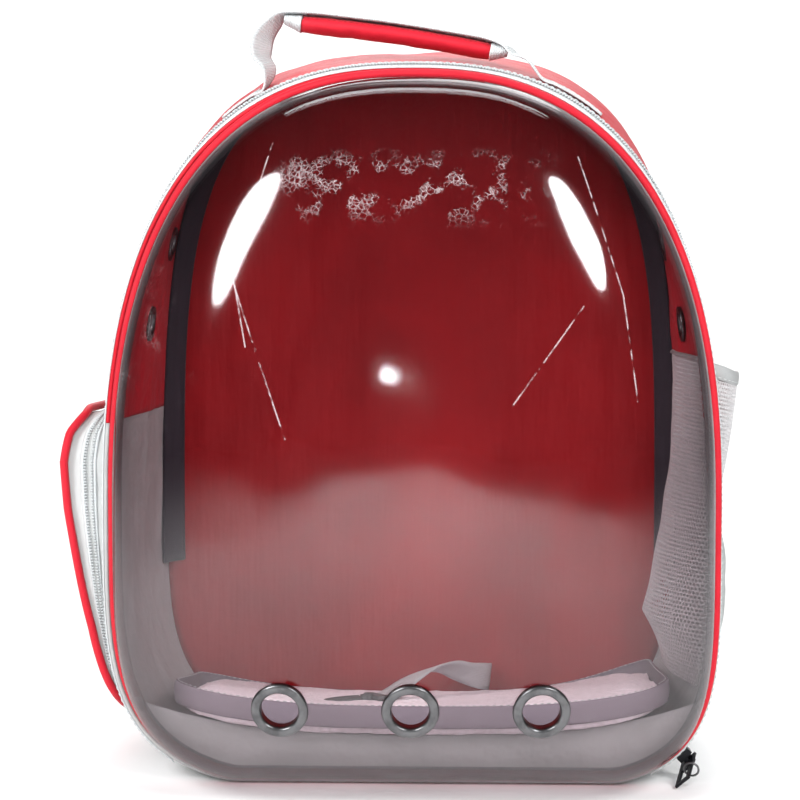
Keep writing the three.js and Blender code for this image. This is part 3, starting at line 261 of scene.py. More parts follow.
def fill_hole(piece, middle, reach):
    """Closes the open loops whose edges start within reach of a point, both in millimetres."""
    work = bmesh.new()
    work.from_mesh(piece.data)
    middle = Vector(middle) * MM
    near = [e for e in work.edges if e.is_boundary and (e.verts[0].co - middle).length < reach * MM]
    bmesh.ops.holes_fill(work, edges=near)
    work.to_mesh(piece.data)
    work.free()
    return piece


def bake(piece):
    """Turns a piece with its modifiers into a plain mesh."""
    bpy.context.view_layer.update()
    depsgraph = bpy.context.evaluated_depsgraph_get()
    mesh = bpy.data.meshes.new_from_object(piece.evaluated_get(depsgraph), depsgraph=depsgraph)
    piece.modifiers.clear()
    old = piece.data
    piece.data = mesh
    bpy.data.meshes.remove(old)
    mesh.name = piece.name
    return piece


def thicken(piece, thickness, side=-1.0):
    solidify = piece.modifiers.new("wall", "SOLIDIFY")
    solidify.thickness = thickness * MM
    solidify.offset = side
    solidify.use_even_offset = True
    return bake(piece)


def soften(piece, width, segments=2, angle=40):
    bevel = piece.modifiers.new("rounded_edges", "BEVEL")
    bevel.width = width * MM
    bevel.segments = segments
    bevel.limit_method = "ANGLE"
    bevel.angle_limit = math.radians(angle)
    return bake(piece)


def subdivide(piece, levels=1):
    sub = piece.modifiers.new("smooth_form", "SUBSURF")
    sub.levels = sub.render_levels = levels
    return bake(piece)


def cut(piece, cutters, operation="DIFFERENCE"):
    for cutter in cutters:
        boolean = piece.modifiers.new("cut", "BOOLEAN")
        boolean.operation = operation
        boolean.object = cutter
        boolean.solver = "EXACT"
    bake(piece)
    for cutter in cutters:
        bpy.data.objects.remove(cutter)
    return piece


def drill(radius, length, point, axis, sides=48):
    """A round cutter in millimetres about a point."""
    work = bmesh.new()
    bmesh.ops.create_cone(work, cap_ends=True, segments=sides, radius1=radius * MM,
                          radius2=radius * MM, depth=length * MM)
    turn = Vector((0, 0, 1)).rotation_difference(axis).to_matrix().to_4x4()
    work.transform(Matrix.Translation(Vector(point) * MM) @ turn)
    mesh = bpy.data.meshes.new("drill")
    work.to_mesh(mesh)
    work.free()
    return link("drill", mesh)


def turned(name, profile, point, axis, sides=64):
    """A shape of revolution about an axis, its closed profile in [radius, height]."""
    turn = Vector((0, 0, 1)).rotation_difference(axis).to_matrix()
    rows = []
    for radius, height in profile:
        ring = []
        for i in range(sides):
            angle = 2 * math.pi * i / sides
            at = turn @ Vector((radius * math.cos(angle), radius * math.sin(angle), height))
            ring.append(at + Vector(point))
        rows.append(ring)
    return skin(name, rows, closed_across=True, closed_along=True)


def tube(name, path, radius, sides=12, closed=False, flatten=1.0):
    """A round or oval cord along a path in millimetres."""
    path = np.array(path, float)
    if closed:
        ahead = np.roll(path, -1, 0) - np.roll(path, 1, 0)
    else:
        ahead = np.gradient(path, axis=0)
    rows, reference = [], None
    for at, along in zip(path, ahead):
        along = Vector(along).normalized()
        if reference is None:
            reference = along.orthogonal().normalized()
            if closed:
                reference = Vector((0, 1, 0))
        reference = (reference - along * reference.dot(along)).normalized()
        other = along.cross(reference)
        rows.append([
            Vector(at) + reference * radius * math.cos(t) + other * radius * flatten * math.sin(t)
            for t in np.linspace(0, 2 * math.pi, sides, endpoint=False)
        ])
    return skin(name, rows, closed_across=True, closed_along=closed, caps=not closed)


def join(name, pieces):
    """One piece from several, with their own materials kept."""
    target = pieces[0]
    with bpy.context.temp_override(active_object=target, selected_editable_objects=pieces,
                                   selected_objects=pieces, object=target):
        bpy.ops.object.join()
    target.name = name
    target.data.name = name
    return target


def paint(piece, material):
    piece.data.materials.clear()
    piece.data.materials.append(material)
    return piece


def place(piece, name, slot, nodes=(), body=CARRIER):
    """Names a finished piece and lets it ride on its body in place of its plain solids."""
    piece.name = name
    piece.data.name = name
    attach(piece, body)
    if nodes:
        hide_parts(*nodes)
    return piece


def puff(piece, pressure=4.0, cap=7.0, voxel=5.0, frames=20):
    """Fills a closed fabric form with air for a moment, so that it swells like stuffing."""
    remesh = piece.modifiers.new("even_faces", "REMESH")
    remesh.mode = "VOXEL"
    remesh.voxel_size = voxel * MM
    bake(piece)
    before = np.zeros(len(piece.data.vertices) * 3)
    piece.data.vertices.foreach_get("co", before)
    cloth = piece.modifiers.new("air", "CLOTH")
    cloth.settings.use_pressure = True
    cloth.settings.uniform_pressure_force = pressure
    cloth.settings.effector_weights.gravity = 0
    cloth.settings.quality = 5
    cloth.settings.tension_stiffness = 20
    cloth.settings.compression_stiffness = 20
    cloth.settings.bending_stiffness = 0.6
    cloth.point_cache.frame_start = 1
    cloth.point_cache.frame_end = frames
    for step in range(1, frames + 1):
        bpy.context.scene.frame_set(step)
    bake(piece)
    bpy.context.scene.frame_set(1)
    after = np.zeros(len(before))
    piece.data.vertices.foreach_get("co", after)
    moved = (after - before).reshape(-1, 3)
    length = np.linalg.norm(moved, axis=1, keepdims=True)
    moved *= np.minimum(1, cap * MM / np.maximum(length, 1e-9))
    piece.data.vertices.foreach_set("co", (before.reshape(-1, 3) + moved).ravel())
    piece.data.update()
    subdivide(piece)
    piece.data.shade_smooth()
    return piece


def push(piece, amount):
    """Moves every point along its normal by amount(point in millimetres, normal)."""
    mesh = piece.data
    normals = [v.normal.copy() for v in mesh.vertices]
    for vertex, normal in zip(mesh.vertices, normals):
        at = vertex.co / MM
        vertex.co += normal * amount(at, normal) * MM
    mesh.update()
    return piece


# Node trees: one method adds any node, and Python's operators do the maths

class Value:
    """A node's output that Python's own operators work on."""

    def __init__(self, tree, socket):
        self.tree, self.socket = tree, socket

    def _math(self, operation, a, b):
        return self.tree.node("ShaderNodeMath", {"operation": operation}, {0: a, 1: b})[0]

    def __add__(self, other):
        return self._math("ADD", self, other)

    __radd__ = __add__

    def __sub__(self, other):
        return self._math("SUBTRACT", self, other)

    def __rsub__(self, other):
        return self._math("SUBTRACT", other, self)

    def __mul__(self, other):
        return self._math("MULTIPLY", self, other)

    __rmul__ = __mul__

    def __truediv__(self, other):
        return self._math("DIVIDE", self, other)

    def __pow__(self, other):
        return self._math("POWER", self, other)

    def __neg__(self):
        return self * -1.0

    def least(self, other):
        return self._math("MINIMUM", self, other)

    def most(self, other):
        return self._math("MAXIMUM", self, other)

    def wave(self):
        return self._math("SINE", self, 0.0)

    def size(self):
        return self._math("ABSOLUTE", self, 0.0)

    def root(self):
        return self._math("SQRT", self, 0.0)

    def clipped(self):
        return self.most(0.0).least(1.0)

    def between(self, low, high):
        """0 below low, 1 above high, and smooth between them."""
        return self.tree.node(
            "ShaderNodeMapRange", {"interpolation_type": "SMOOTHSTEP"},
            {"Value": self, "From Min": low, "From Max": high},
        )[0]


class Nodes:
    """A node tree that is written as Python expressions."""

    def __init__(self, tree):
        self.tree = tree

    def node(self, kind, settings=None, values=None):
        made = self.tree.nodes.new(kind)
        for key, value in (settings or {}).items():
            setattr(made, key, value)
        for key, value in (values or {}).items():
            if isinstance(value, Value):
                self.tree.links.new(value.socket, made.inputs[key])
            elif value is not None:
                made.inputs[key].default_value = value
        return Outputs(self, made)


class Outputs:
    """A node's outputs by name or number."""

    def __init__(self, tree, made):
        self.tree, self.made = tree, made

    def __getitem__(self, key):
        return Value(self.tree, self.made.outputs[key])


class Finish(Nodes):
    """A material."""

    def __init__(self, name):
        self.material = bpy.data.materials.new(name)
        self.material.use_nodes = True
        super().__init__(self.material.node_tree)
        self.tree.nodes.clear()

    def at(self, space="Object"):
        place = self.node("ShaderNodeTexCoord")[space]
        split = self.node("ShaderNodeSeparateXYZ", None, {0: place})
        return place, split["X"], split["Y"], split["Z"]

    def cloud(self, place, scale, detail=3.0, rough=0.55):
        return self.node("ShaderNodeTexNoise", None,
                         {"Vector": place, "Scale": scale, "Detail": detail, "Roughness": rough})["Fac"]

    def cells(self, place, scale, feature="F1"):
        return self.node("ShaderNodeTexVoronoi", {"feature": feature},
                         {"Vector": place, "Scale": scale})["Distance"]

    def blend(self, factor, a, b, kind="MIX"):
        return Value(self, self.node(
            "ShaderNodeMix", {"data_type": "RGBA", "blend_type": kind, "clamp_factor": True},
            {0: factor, 6: a, 7: b}).made.outputs[2])

    def bump(self, height, distance, strength=1.0, under=None):
        return self.node("ShaderNodeBump", None, {
            "Height": height, "Distance": distance, "Strength": strength, "Normal": under})["Normal"]

    def principled(self, **values):
        named = {key.replace("_", " ").title().replace("Ior", "IOR"): value for key, value in values.items()}
        return self.node("ShaderNodeBsdfPrincipled", None, named)["BSDF"]

    def mix(self, factor, a, b):
        return self.node("ShaderNodeMixShader", None, {0: factor, 1: a, 2: b})[0]

    def done(self, shader):
        self.node("ShaderNodeOutputMaterial", None, {"Surface": shader})
        return self.material


def shade(colour, factor):
    return tuple(min(c * factor, 1.0) for c in colour[:3]) + (1.0,)


def cloth(name, colour, pitch=0.9, plane="UV", rough=0.75, sheen=0.05, depth=0.25, twill=False,
          wrinkle=0.6, mottle=0.12, fuzz=0.0):
    """Woven fabric: its threads, a little unevenness of dye, soft creases and rubbed high spots."""
    f = Finish(name)
    place, x, y, z = f.at()
    if plane == "UV":
        _, a, b, _ = f.at("UV")
    else:
        a, b = {"xz": (x, z), "yz": (y, z), "xy": (x, y)}[plane]
    turn = 2 * math.pi / (pitch * MM)
    warp, weft = (a * turn).wave(), (b * turn).wave()
    threads = ((a + b) * turn).wave() * 0.5 + 0.5 if twill else warp * weft * 0.5 + 0.5
    slub = f.cloud(place, 900.0, 2.0)
    creases = f.cloud(place, 22.0, 4.0, 0.6)
    dye = f.cloud(place, 60.0, 3.0)
    worn = f.cloud(place, 9.0, 2.0).between(0.66, 0.9)
    # Painted shade: the weave is painted darker between the threads, where its bump is low; the slubs darken it too, as
    # uneven yarn.
    weave_shade_and_slub = f.blend((1.0 - threads) * 0.55 + slub * 0.25, shade(colour, 1.12), shade(colour, 0.72))
    base = f.blend(dye.between(0.35, 0.75) * mottle * 4, weave_shade_and_slub, shade(colour, 0.8))
    base = f.blend(worn * 0.12, base, shade([c + 0.03 for c in colour[:3]], 1.15))
    height = threads * depth + slub * (0.15 + fuzz)
    soft = f.bump(creases, 0.006 * wrinkle)
    normal = f.bump(height, 0.00035, 0.8, soft)
    return f.done(f.principled(
        base_color=base, roughness=(rough - threads * 0.08 + worn * 0.05).clipped(),
        normal=normal, sheen_weight=sheen, sheen_roughness=0.4,
        specular_ior_level=0.22,
    ))


def satin(name, colour):
    """Smooth lining with a soft shine and fine vertical pulls."""
    f = Finish(name)
    place, x, _, z = f.at()
    threads = (z * (2 * math.pi / 0.0006)).wave() * 0.5 + 0.5
    pulls = f.node("ShaderNodeTexNoise", None, {
        "Vector": f.node("ShaderNodeCombineXYZ", None, {0: x * 60.0, 1: 0.0, 2: z * 9.0})[0],
        "Scale": 1.0, "Detail": 3.0})["Fac"]
    folds_and_painted_shade = f.cloud(place, 14.0, 4.0)
    # Painted sheen and shade: the red is painted lighter and darker in soft clouds that follow the folds.
    base = f.blend(folds_and_painted_shade.between(0.3, 0.75) * 0.6, shade(colour, 1.15), shade(colour, 0.66))
    base = f.blend(threads * 0.12, base, shade(colour, 0.6))
    normal = f.bump(pulls * 0.7 + folds_and_painted_shade, 0.004, 0.7)
    normal = f.bump(threads, 0.0001, 0.4, normal)
    return f.done(f.principled(
        base_color=base, roughness=(0.42 + folds_and_painted_shade * 0.18 + pulls * 0.06).clipped(), normal=normal,
        sheen_weight=0.05, sheen_roughness=0.35, specular_ior_level=0.22,
    ))


def webbing_finish(name, colour, pitch=1.5):
    """Flat webbing: chevron ribs along it and a firmer selvedge."""
    f = Finish(name)
    place, *_ = f.at()
    _, across, along, _ = f.at("UV")
    turn = 2 * math.pi / (pitch * MM)
    zigzag = (across * turn * 0.8).wave().size() * 0.9
    ribs = (along * turn + zigzag * 2.2).wave() * 0.5 + 0.5
    lines = (across * turn * 1.3).wave() * 0.5 + 0.5
    dust = f.cloud(place, 120.0, 4.0)
    # Painted shade: the webbing is painted darker in the grooves between its ribs and lines, where its bump is low.
    base = f.blend((1.0 - ribs) * 0.35 + (1.0 - lines) * 0.25, shade(colour, 1.1), shade(colour, 0.62))
    base = f.blend(dust.between(0.45, 0.8) * 0.25, base, shade(colour, 0.7))
    normal = f.bump(ribs * 0.7 + lines * 0.5, 0.0005, 0.9)
    return f.done(f.principled(
        base_color=base, roughness=(0.62 + dust * 0.15).clipped(), normal=normal,
        sheen_weight=0.15, sheen_roughness=0.5,
    ))


def fleece_finish(name, colour):
    """Short soft pile that lies in tufts."""
    f = Finish(name)
    place, *_ = f.at()
    tufts = f.cells(place, 260.0)
    curl = f.cloud(place, 420.0, 4.0, 0.7)
    trodden = f.cloud(place, 16.0, 3.0)
    # Painted shade: the pile is painted darker towards the edge of each tuft, where the bump sinks between them.
    base = f.blend(tufts * 0.9, shade(colour, 1.08), shade(colour, 0.74))
    base = f.blend(trodden.between(0.4, 0.75) * 0.35, base, shade(colour, 0.86))
    normal = f.bump(curl * 0.8 - tufts, 0.0012, 0.9)
    return f.done(f.principled(
        base_color=base, roughness=(0.92 + curl * 0.08).clipped(), normal=normal,
        sheen_weight=0.5, sheen_roughness=0.6, specular_ior_level=0.2,
    ))


def metal_finish(name, colour, rough=0.25, metallic=1.0):
    """Plated metal with faint turning marks, rubbed brighter where it is handled."""
    f = Finish(name)
    place, *_ = f.at()
    smudge = f.cloud(place, 140.0, 4.0)
    grain = f.cloud(place, 1600.0, 2.0)
    base = f.blend(smudge.between(0.35, 0.7), shade(colour, 1.15), shade(colour, 0.72))
    return f.done(f.principled(
        base_color=base, roughness=(rough + smudge * 0.14 + grain * 0.05).clipped(),
        metallic=metallic, normal=f.bump(grain + smudge * 0.4, 0.00008, 0.5),
    ))


def plastic_finish(name, colour, rough=0.45):
    """Moulded plastic with a fine spark-eroded grain."""
    f = Finish(name)
    place, *_ = f.at()
    grain = f.cloud(place, 1300.0, 3.0)
    scuff = f.cloud(place, 70.0, 5.0).between(0.55, 0.75)
    base = f.blend(scuff * 0.4, shade(colour, 1.0), shade([c + 0.05 for c in colour[:3]], 1.25))
    return f.done(f.principled(
        base_color=base, roughness=(rough + grain * 0.1 + scuff * 0.1).clipped(),
        normal=f.bump(grain, 0.00012, 0.6), specular_ior_level=0.45,
    ))


def net_finish(name, colour):
    f = Finish(name)
    place, *_ = f.at()
    twist = f.cloud(place, 900.0, 3.0)
    base = f.blend(twist.between(0.3, 0.7), shade(colour, 1.05), shade(colour, 0.75))
    return f.done(f.principled(
        base_color=base, roughness=(0.6 + twist * 0.2).clipped(),
        normal=f.bump(twist, 0.0002, 0.6), sheen_weight=0.2,
    ))


# Fine scratches on the dome, each a run of points across and up it in metres
SCRATCHES = (
    ((-0.077, 0.374), (-0.098, 0.300), (-0.068, 0.212)),
    ((0.092, 0.366), (0.116, 0.290), (0.124, 0.232)),
    ((0.094, 0.284), (0.055, 0.230)),
    ((-0.097, 0.300), (-0.090, 0.262)),
)


def clear_dome(name, tint, smoke):
    """Thin clear plastic: it mirrors at a glance, smokes towards its rim and carries light wear."""
    f = Finish(name)
    place, x, y, z = f.at()
    glance = f.node("ShaderNodeLayerWeight", None, {"Blend": 0.5})["Facing"]
    mirror = (glance ** 5.0) * 0.55 + 0.035
    wear = None
    for run in SCRATCHES:
        for (ax, az), (bx, bz) in zip(run, run[1:]):
            px, pz = x - ax, z - az
            ex, ez = bx - ax, bz - az
            along = ((px * ex + pz * ez) / (ex * ex + ez * ez)).clipped()
            dx, dz = px - along * ex, pz - along * ez
            line = 1.0 - (dx * dx + dz * dz).root().between(0.00012, 0.0006)
            wear = line if wear is None else wear.most(line)
    broken = f.cloud(place, 160.0, 4.0).between(0.42, 0.56)
    crackle = f.cells(place, 330.0, "DISTANCE_TO_EDGE").between(0.12, 0.0)
    band = z.between(0.325, 0.345) * (1.0 - z.between(0.356, 0.372))
    flake = f.cloud(place, 75.0, 5.0).between(0.53, 0.60)
    film = band * flake * crackle * (1.0 - x.size().between(0.055, 0.085))
    bloom = f.cloud(place, 26.0, 5.0, 0.65).between(0.56, 0.72)
    side = (1.0 - x.between(-0.150, -0.105)) * z.between(0.17, 0.2) * (1.0 - z.between(0.30, 0.33))
    haze = (wear * broken * 0.22 + film * 0.22 + side * bloom * crackle * 0.12).clipped()
    rough = (0.055 + f.cloud(place, 18.0, 2.0) * 0.03 + haze * 0.3).clipped()
    normal = f.bump(f.cloud(place, 7.0, 2.0), 0.006, 0.35)
    gloss = f.principled(base_color=(0.93, 0.93, 0.95, 1), metallic=1.0, roughness=rough, normal=normal)
    clear = f.node("ShaderNodeBsdfTransparent", None, {"Color": tuple(tint)})[0]
    # Seen at a glance it passes a dark grey: partly the plastic's tint, partly painted shade of the inner walls seen
    # through the rim.
    rim_smoke_and_shade = f.node("ShaderNodeBsdfTransparent", None, {"Color": tuple(smoke)})[0]
    body = f.mix((glance ** 2.6) * 0.98, clear, rim_smoke_and_shade)
    dust = f.principled(base_color=(0.86, 0.78, 0.8, 1), roughness=0.8)
    return f.done(f.mix(haze, f.mix(mirror, body, gloss), dust))


# Repeated things: rows of teeth or stitches along a line, and threads along a net's edges

def tree_with(name, inputs):
    tree = bpy.data.node_groups.new(name, "GeometryNodeTree")
    tree.interface.new_socket("Geometry", in_out="INPUT", socket_type="NodeSocketGeometry")
    tree.interface.new_socket("Geometry", in_out="OUTPUT", socket_type="NodeSocketGeometry")
    for label, kind, value in inputs:
        socket = tree.interface.new_socket(label, in_out="INPUT", socket_type=kind)
        if value is not None:
            socket.default_value = value
    nodes = Nodes(tree)
    return nodes, nodes.node("NodeGroupInput")


def beads_tree():
    """Small rounded items at an even pitch, turned to the line and to the surface it lies on."""
    nodes, given = tree_with("beads_along_a_line", [
        ("Pitch", "NodeSocketFloat", 0.002), ("Size", "NodeSocketVector", (0.001, 0.001, 0.001)),
        ("Turn", "NodeSocketFloat", 0.0), ("Finish", "NodeSocketMaterial", None),
    ])
    line = nodes.node("GeometryNodeMeshToCurve", None, {"Mesh": given["Geometry"]})["Curve"]
    spaced = nodes.node("GeometryNodeResampleCurve", {"mode": "LENGTH"},
                        {"Curve": line, "Length": given["Pitch"]})["Curve"]
    tangent = nodes.node("GeometryNodeInputTangent")["Tangent"]
    up = nodes.node("GeometryNodeInputNamedAttribute", {"data_type": "FLOAT_VECTOR"},
                    {"Name": "up"})["Attribute"]
    along = nodes.node("FunctionNodeAlignRotationToVector", {"axis": "X"}, {"Vector": tangent})["Rotation"]
    upright = nodes.node("FunctionNodeAlignRotationToVector", {"axis": "Z", "pivot_axis": "X"},
                         {"Rotation": along, "Vector": up})["Rotation"]
    extra = nodes.node("FunctionNodeAxisAngleToRotation", None,
                       {"Axis": (0, 0, 1), "Angle": given["Turn"]})["Rotation"]
    rotation = nodes.node("FunctionNodeRotateRotation", {"rotation_space": "LOCAL"},
                          {"Rotation": upright, "Rotate By": extra})["Rotation"]
    bead = nodes.node("GeometryNodeMeshIcoSphere", None, {"Radius": 0.5, "Subdivisions": 2})["Mesh"]
    bead = nodes.node("GeometryNodeTransform", None, {"Geometry": bead, "Scale": given["Size"]})["Geometry"]
    row = nodes.node("GeometryNodeInstanceOnPoints", None,
                     {"Points": spaced, "Instance": bead, "Rotation": rotation})["Instances"]
    real = nodes.node("GeometryNodeRealizeInstances", None, {"Geometry": row})["Geometry"]
    smooth = nodes.node("GeometryNodeSetShadeSmooth", None, {"Geometry": real})["Geometry"]
    done = nodes.node("GeometryNodeSetMaterial", None,
                      {"Geometry": smooth, "Material": given["Finish"]})["Geometry"]
    nodes.node("NodeGroupOutput", None, {"Geometry": done})
    return nodes.tree


def threads_tree():
    """A thin round thread along every edge of a net."""
    nodes, given = tree_with("threads_of_a_net", [
        ("Thread", "NodeSocketFloat", 0.0003), ("Finish", "NodeSocketMaterial", None),
    ])
    line = nodes.node("GeometryNodeMeshToCurve", None, {"Mesh": given["Geometry"]})["Curve"]
    section = nodes.node("GeometryNodeCurvePrimitiveCircle", {"mode": "RADIUS"},
                         {"Resolution": 4, "Radius": given["Thread"]})["Curve"]
    skinned = nodes.node("GeometryNodeCurveToMesh", None,
                         {"Curve": line, "Profile Curve": section, "Fill Caps": True})["Mesh"]
    real = nodes.node("GeometryNodeRealizeInstances", None, {"Geometry": skinned})["Geometry"]
    done = nodes.node("GeometryNodeSetMaterial", None,
                      {"Geometry": real, "Material": given["Finish"]})["Geometry"]
    nodes.node("NodeGroupOutput", None, {"Geometry": done})
    return nodes.tree


def grow(piece, tree, **values):
    """Runs a node tree on a piece with its named inputs, and keeps the plain mesh."""
    modifier = piece.modifiers.new(tree.name, "NODES")
    modifier.node_group = tree
    for item in tree.interface.items_tree:
        if item.in_out == "INPUT" and item.name in values:
            modifier[item.identifier] = values[item.name]
    return bake(piece)


def line_mesh(name, runs, ups):
    """Lines of points in millimetres, each point with the surface's direction as an attribute."""
    points, edges, directions = [], [], []
    for run, up in zip(runs, ups):
        start = len(points)
        points += [tuple(Vector(p) * MM) for p in run]
        directions += [tuple(Vector(u).normalized()) for u in up]
        edges += [(start + i, start + i + 1) for i in range(len(run) - 1)]
    mesh = bpy.data.meshes.new(name)
    mesh.from_pydata(points, edges, [])
    layer = mesh.attributes.new("up", "FLOAT_VECTOR", "POINT")
    layer.data.foreach_set("vector", [c for d in directions for c in d])
    return link(name, mesh)


def beads(name, runs, ups, pitch, size, material, turn=0.0):
    piece = line_mesh(name, runs, ups)
    return grow(piece, beads_tree(), Pitch=pitch * MM, Size=[s * MM for s in size], Turn=turn,
                Finish=material)


def stitches(name, runs, ups, material, length=2.6, gap=1.4, thick=0.55):
    return beads(name, runs, ups, length + gap, (length, thick, thick), material)


def net_mesh(name, at, columns, rows):
    """The edges of a knitted net of six-sided cells over a surface at(u, v) in millimetres."""
    points, edges, index = [], set(), {}

    def point(u, v):
        key = (round(u * 4), round(v * 4))
        if key not in index:
            index[key] = len(points)
            points.append(tuple(Vector(at(min(max(u / columns, 0), 1), min(max(v / rows, 0), 1))) * MM))
        return index[key]

    for j in range(rows):
        for i in range(columns):
            shift = 0.5 if j % 2 else 0.0
            left, middle, right = i + shift, i + 0.5 + shift, i + 1 + shift
            if right > columns:
                continue
            a, b, c = point(left, j + 0.25), point(middle, j), point(right, j + 0.25)
            d, e = point(left, j + 0.75), point(right, j + 0.75)
            g = point(middle, j + 1)
            for pair in ((a, b), (b, c), (a, d), (c, e), (d, g), (g, e)):
                edges.add(tuple(sorted(pair)))
    mesh = bpy.data.meshes.new(name)
    mesh.from_pydata(points, [e for e in edges if e[0] != e[1]], [])
    return link(name, mesh)


# Settings that a user would change

def colour_property(label, value, text):
    return FloatVectorProperty(name=label, description=text, subtype="COLOR", size=4, default=value,
                               min=0.0, max=1.0)


class CarrierSizes(bpy.types.PropertyGroup):
    """Sizes of the carrier's details."""

    piping: FloatProperty(name="Piping radius", description="Radius of the cord round the dome",
                          default=0.0025, unit="LENGTH")
    tooth_pitch: FloatProperty(name="Zip pitch", description="Distance between two zip teeth",
                               default=0.0019, unit="LENGTH")
    stitch: FloatProperty(name="Stitch", description="Length of one stitch", default=0.0026, unit="LENGTH")
    net_thread: FloatProperty(name="Net thread", description="Radius of a thread of the nets",
                              default=0.00040, unit="LENGTH")
    net_cell: FloatProperty(name="Net cell", description="Width of one cell of the nets",
                            default=0.0026, unit="LENGTH")
    crease: FloatProperty(name="Crease depth", description="Depth of the soft creases in the walls",
                          default=0.0016, unit="LENGTH")
    rounds: IntProperty(name="Eyelet sides", description="Sides of each round metal piece",
                        default=64, min=16)


class CarrierColours(bpy.types.PropertyGroup):
    """Colours of the carrier's materials."""

    red: colour_property("Red fabric", (0.50, 0.010, 0.022, 1), "Outer red fabric")
    piping: colour_property("Piping", (0.52, 0.012, 0.026, 1), "Red cover of the piping")
    lining: colour_property("Lining", (0.25, 0.005, 0.008, 1), "Red lining seen through the dome")
    grey: colour_property("Grey fabric", (0.40, 0.41, 0.41, 1), "Outer grey fabric")
    webbing: colour_property("Webbing", (0.56, 0.59, 0.60, 1), "Webbing and zip tape")
    tape: colour_property("Binding", (0.030, 0.024, 0.032, 1), "Dark binding in the rear seam")
    fleece: colour_property("Fleece", (0.90, 0.82, 0.89, 1), "Floor mat")
    mat_edge: colour_property("Mat edge", (0.20, 0.17, 0.20, 1), "Binding of the floor mat")
    net: colour_property("Net", (0.52, 0.51, 0.52, 1), "Knitted nets")
    metal: colour_property("Metal", (0.15, 0.15, 0.155, 1), "Eyelets and rings")
    black: colour_property("Black metal", (0.012, 0.012, 0.015, 1), "Zip slider and pull")
    plastic: colour_property("Plastic", (0.085, 0.09, 0.09, 1), "Snap hook and adjusters")
    clear: colour_property("Clear", (0.88, 0.85, 0.86, 1), "Dome seen straight")
    # Partly the dome's grey tint, partly painted shade of the inner walls seen through its rim.
    smoke: colour_property("Smoke", (0.20, 0.19, 0.20, 1), "Dome seen at a glance")


def sizes():
    return bpy.context.scene.carrier_sizes


@lru_cache(maxsize=None)
def finish(name):
    """Each material once, by name."""
    c = bpy.context.scene.carrier_colours
    make = {
        "red_shell": lambda: cloth("red_shell", c.red, 0.9, rough=0.55, wrinkle=0.7),
        "red_panel": lambda: cloth("red_panel", c.red, 0.9, "yz", rough=0.55, wrinkle=0.6),
        "red_strap": lambda: cloth("red_strap", c.red, 0.9, "xz", rough=0.6, wrinkle=0.5),
        "red_sleeve": lambda: cloth("red_sleeve", c.piping, 0.8, rough=0.55, wrinkle=0.4),
        "red_cord": lambda: cloth("red_cord", c.piping, 0.7, rough=0.5, twill=True, wrinkle=0.15),
        "red_satin": lambda: satin("red_satin", c.lining),
        "grey_shell": lambda: cloth("grey_shell", c.grey, 1.0, rough=0.8, wrinkle=0.7),
        "grey_pocket": lambda: cloth("grey_pocket", shade(c.grey, 1.25), 0.9, rough=0.8, wrinkle=0.4),
        "grey_mesh": lambda: cloth("grey_mesh", shade(c.grey, 0.8), 2.6, "xz", rough=0.9, depth=0.9,
                                   wrinkle=0.4),
        "grey_inside": lambda: cloth("grey_inside", shade(c.grey, 0.85), 1.0, rough=0.85),
        "zip_tape": lambda: cloth("zip_tape", c.webbing, 0.7, rough=0.8, twill=True, wrinkle=0.1),
        "zip_coil": lambda: plastic_finish("zip_coil", shade(c.webbing, 0.8), 0.4),
        "webbing": lambda: webbing_finish("webbing", c.webbing),
        "dark_tape": lambda: cloth("dark_tape", c.tape, 1.2, rough=0.8, wrinkle=0.2),
        "fleece": lambda: fleece_finish("fleece", c.fleece),
        "mat_edge": lambda: cloth("mat_edge", c.mat_edge, 1.1, rough=0.85, wrinkle=0.2),
        "net": lambda: net_finish("net", c.net),
        "gunmetal": lambda: metal_finish("gunmetal", c.metal),
        "black_metal": lambda: metal_finish("black_metal", c.black, 0.28, 0.6),
        "dark_plastic": lambda: plastic_finish("dark_plastic", c.plastic),
        "clear_plastic": lambda: clear_dome("clear_plastic", c.clear, c.smoke),
        "red_thread": lambda: net_finish("red_thread", shade(c.red, 0.9)),
        "grey_thread": lambda: net_finish("grey_thread", shade(c.webbing, 0.9)),
    }
    return make[name]()


# Dome and its vents

VENT = {"bore": 10.5, "flange": 16.0, "proud": 2.4, "behind": 4.3, "washer": 14.5}
WALL_VENT = {"bore": 7.5, "flange": 12.0, "proud": 2.0, "behind": 4.4, "washer": 11.0}
VENT_SPACING = 72
VENT_HEIGHT = 62


def eyelet(name, size, wall, point, axis):
    """A pressed metal eyelet: a rolled flange outside, a flared barrel and a washer inside."""
    bore, flange, proud = size["bore"], size["flange"], size["proud"]
    profile = [(bore, -size["behind"]), (size["washer"], -size["behind"]),
               (size["washer"], -wall - 0.4), (bore + 1.0, -wall - 0.3), (bore + 1.0, 0.15), (flange, 0.15)]
    for i in range(9):
        turn = math.pi * i / 8
        middle = (flange + bore) / 2
        profile.append((middle + (flange - middle) * math.cos(turn) * 0.98,
                        0.4 + (proud - 0.4) * math.sin(turn) ** 0.7))
    profile.append((bore, 0.2))
    piece = turned(name, profile, point, axis, sizes().rounds)
    return paint(piece, finish("gunmetal"))


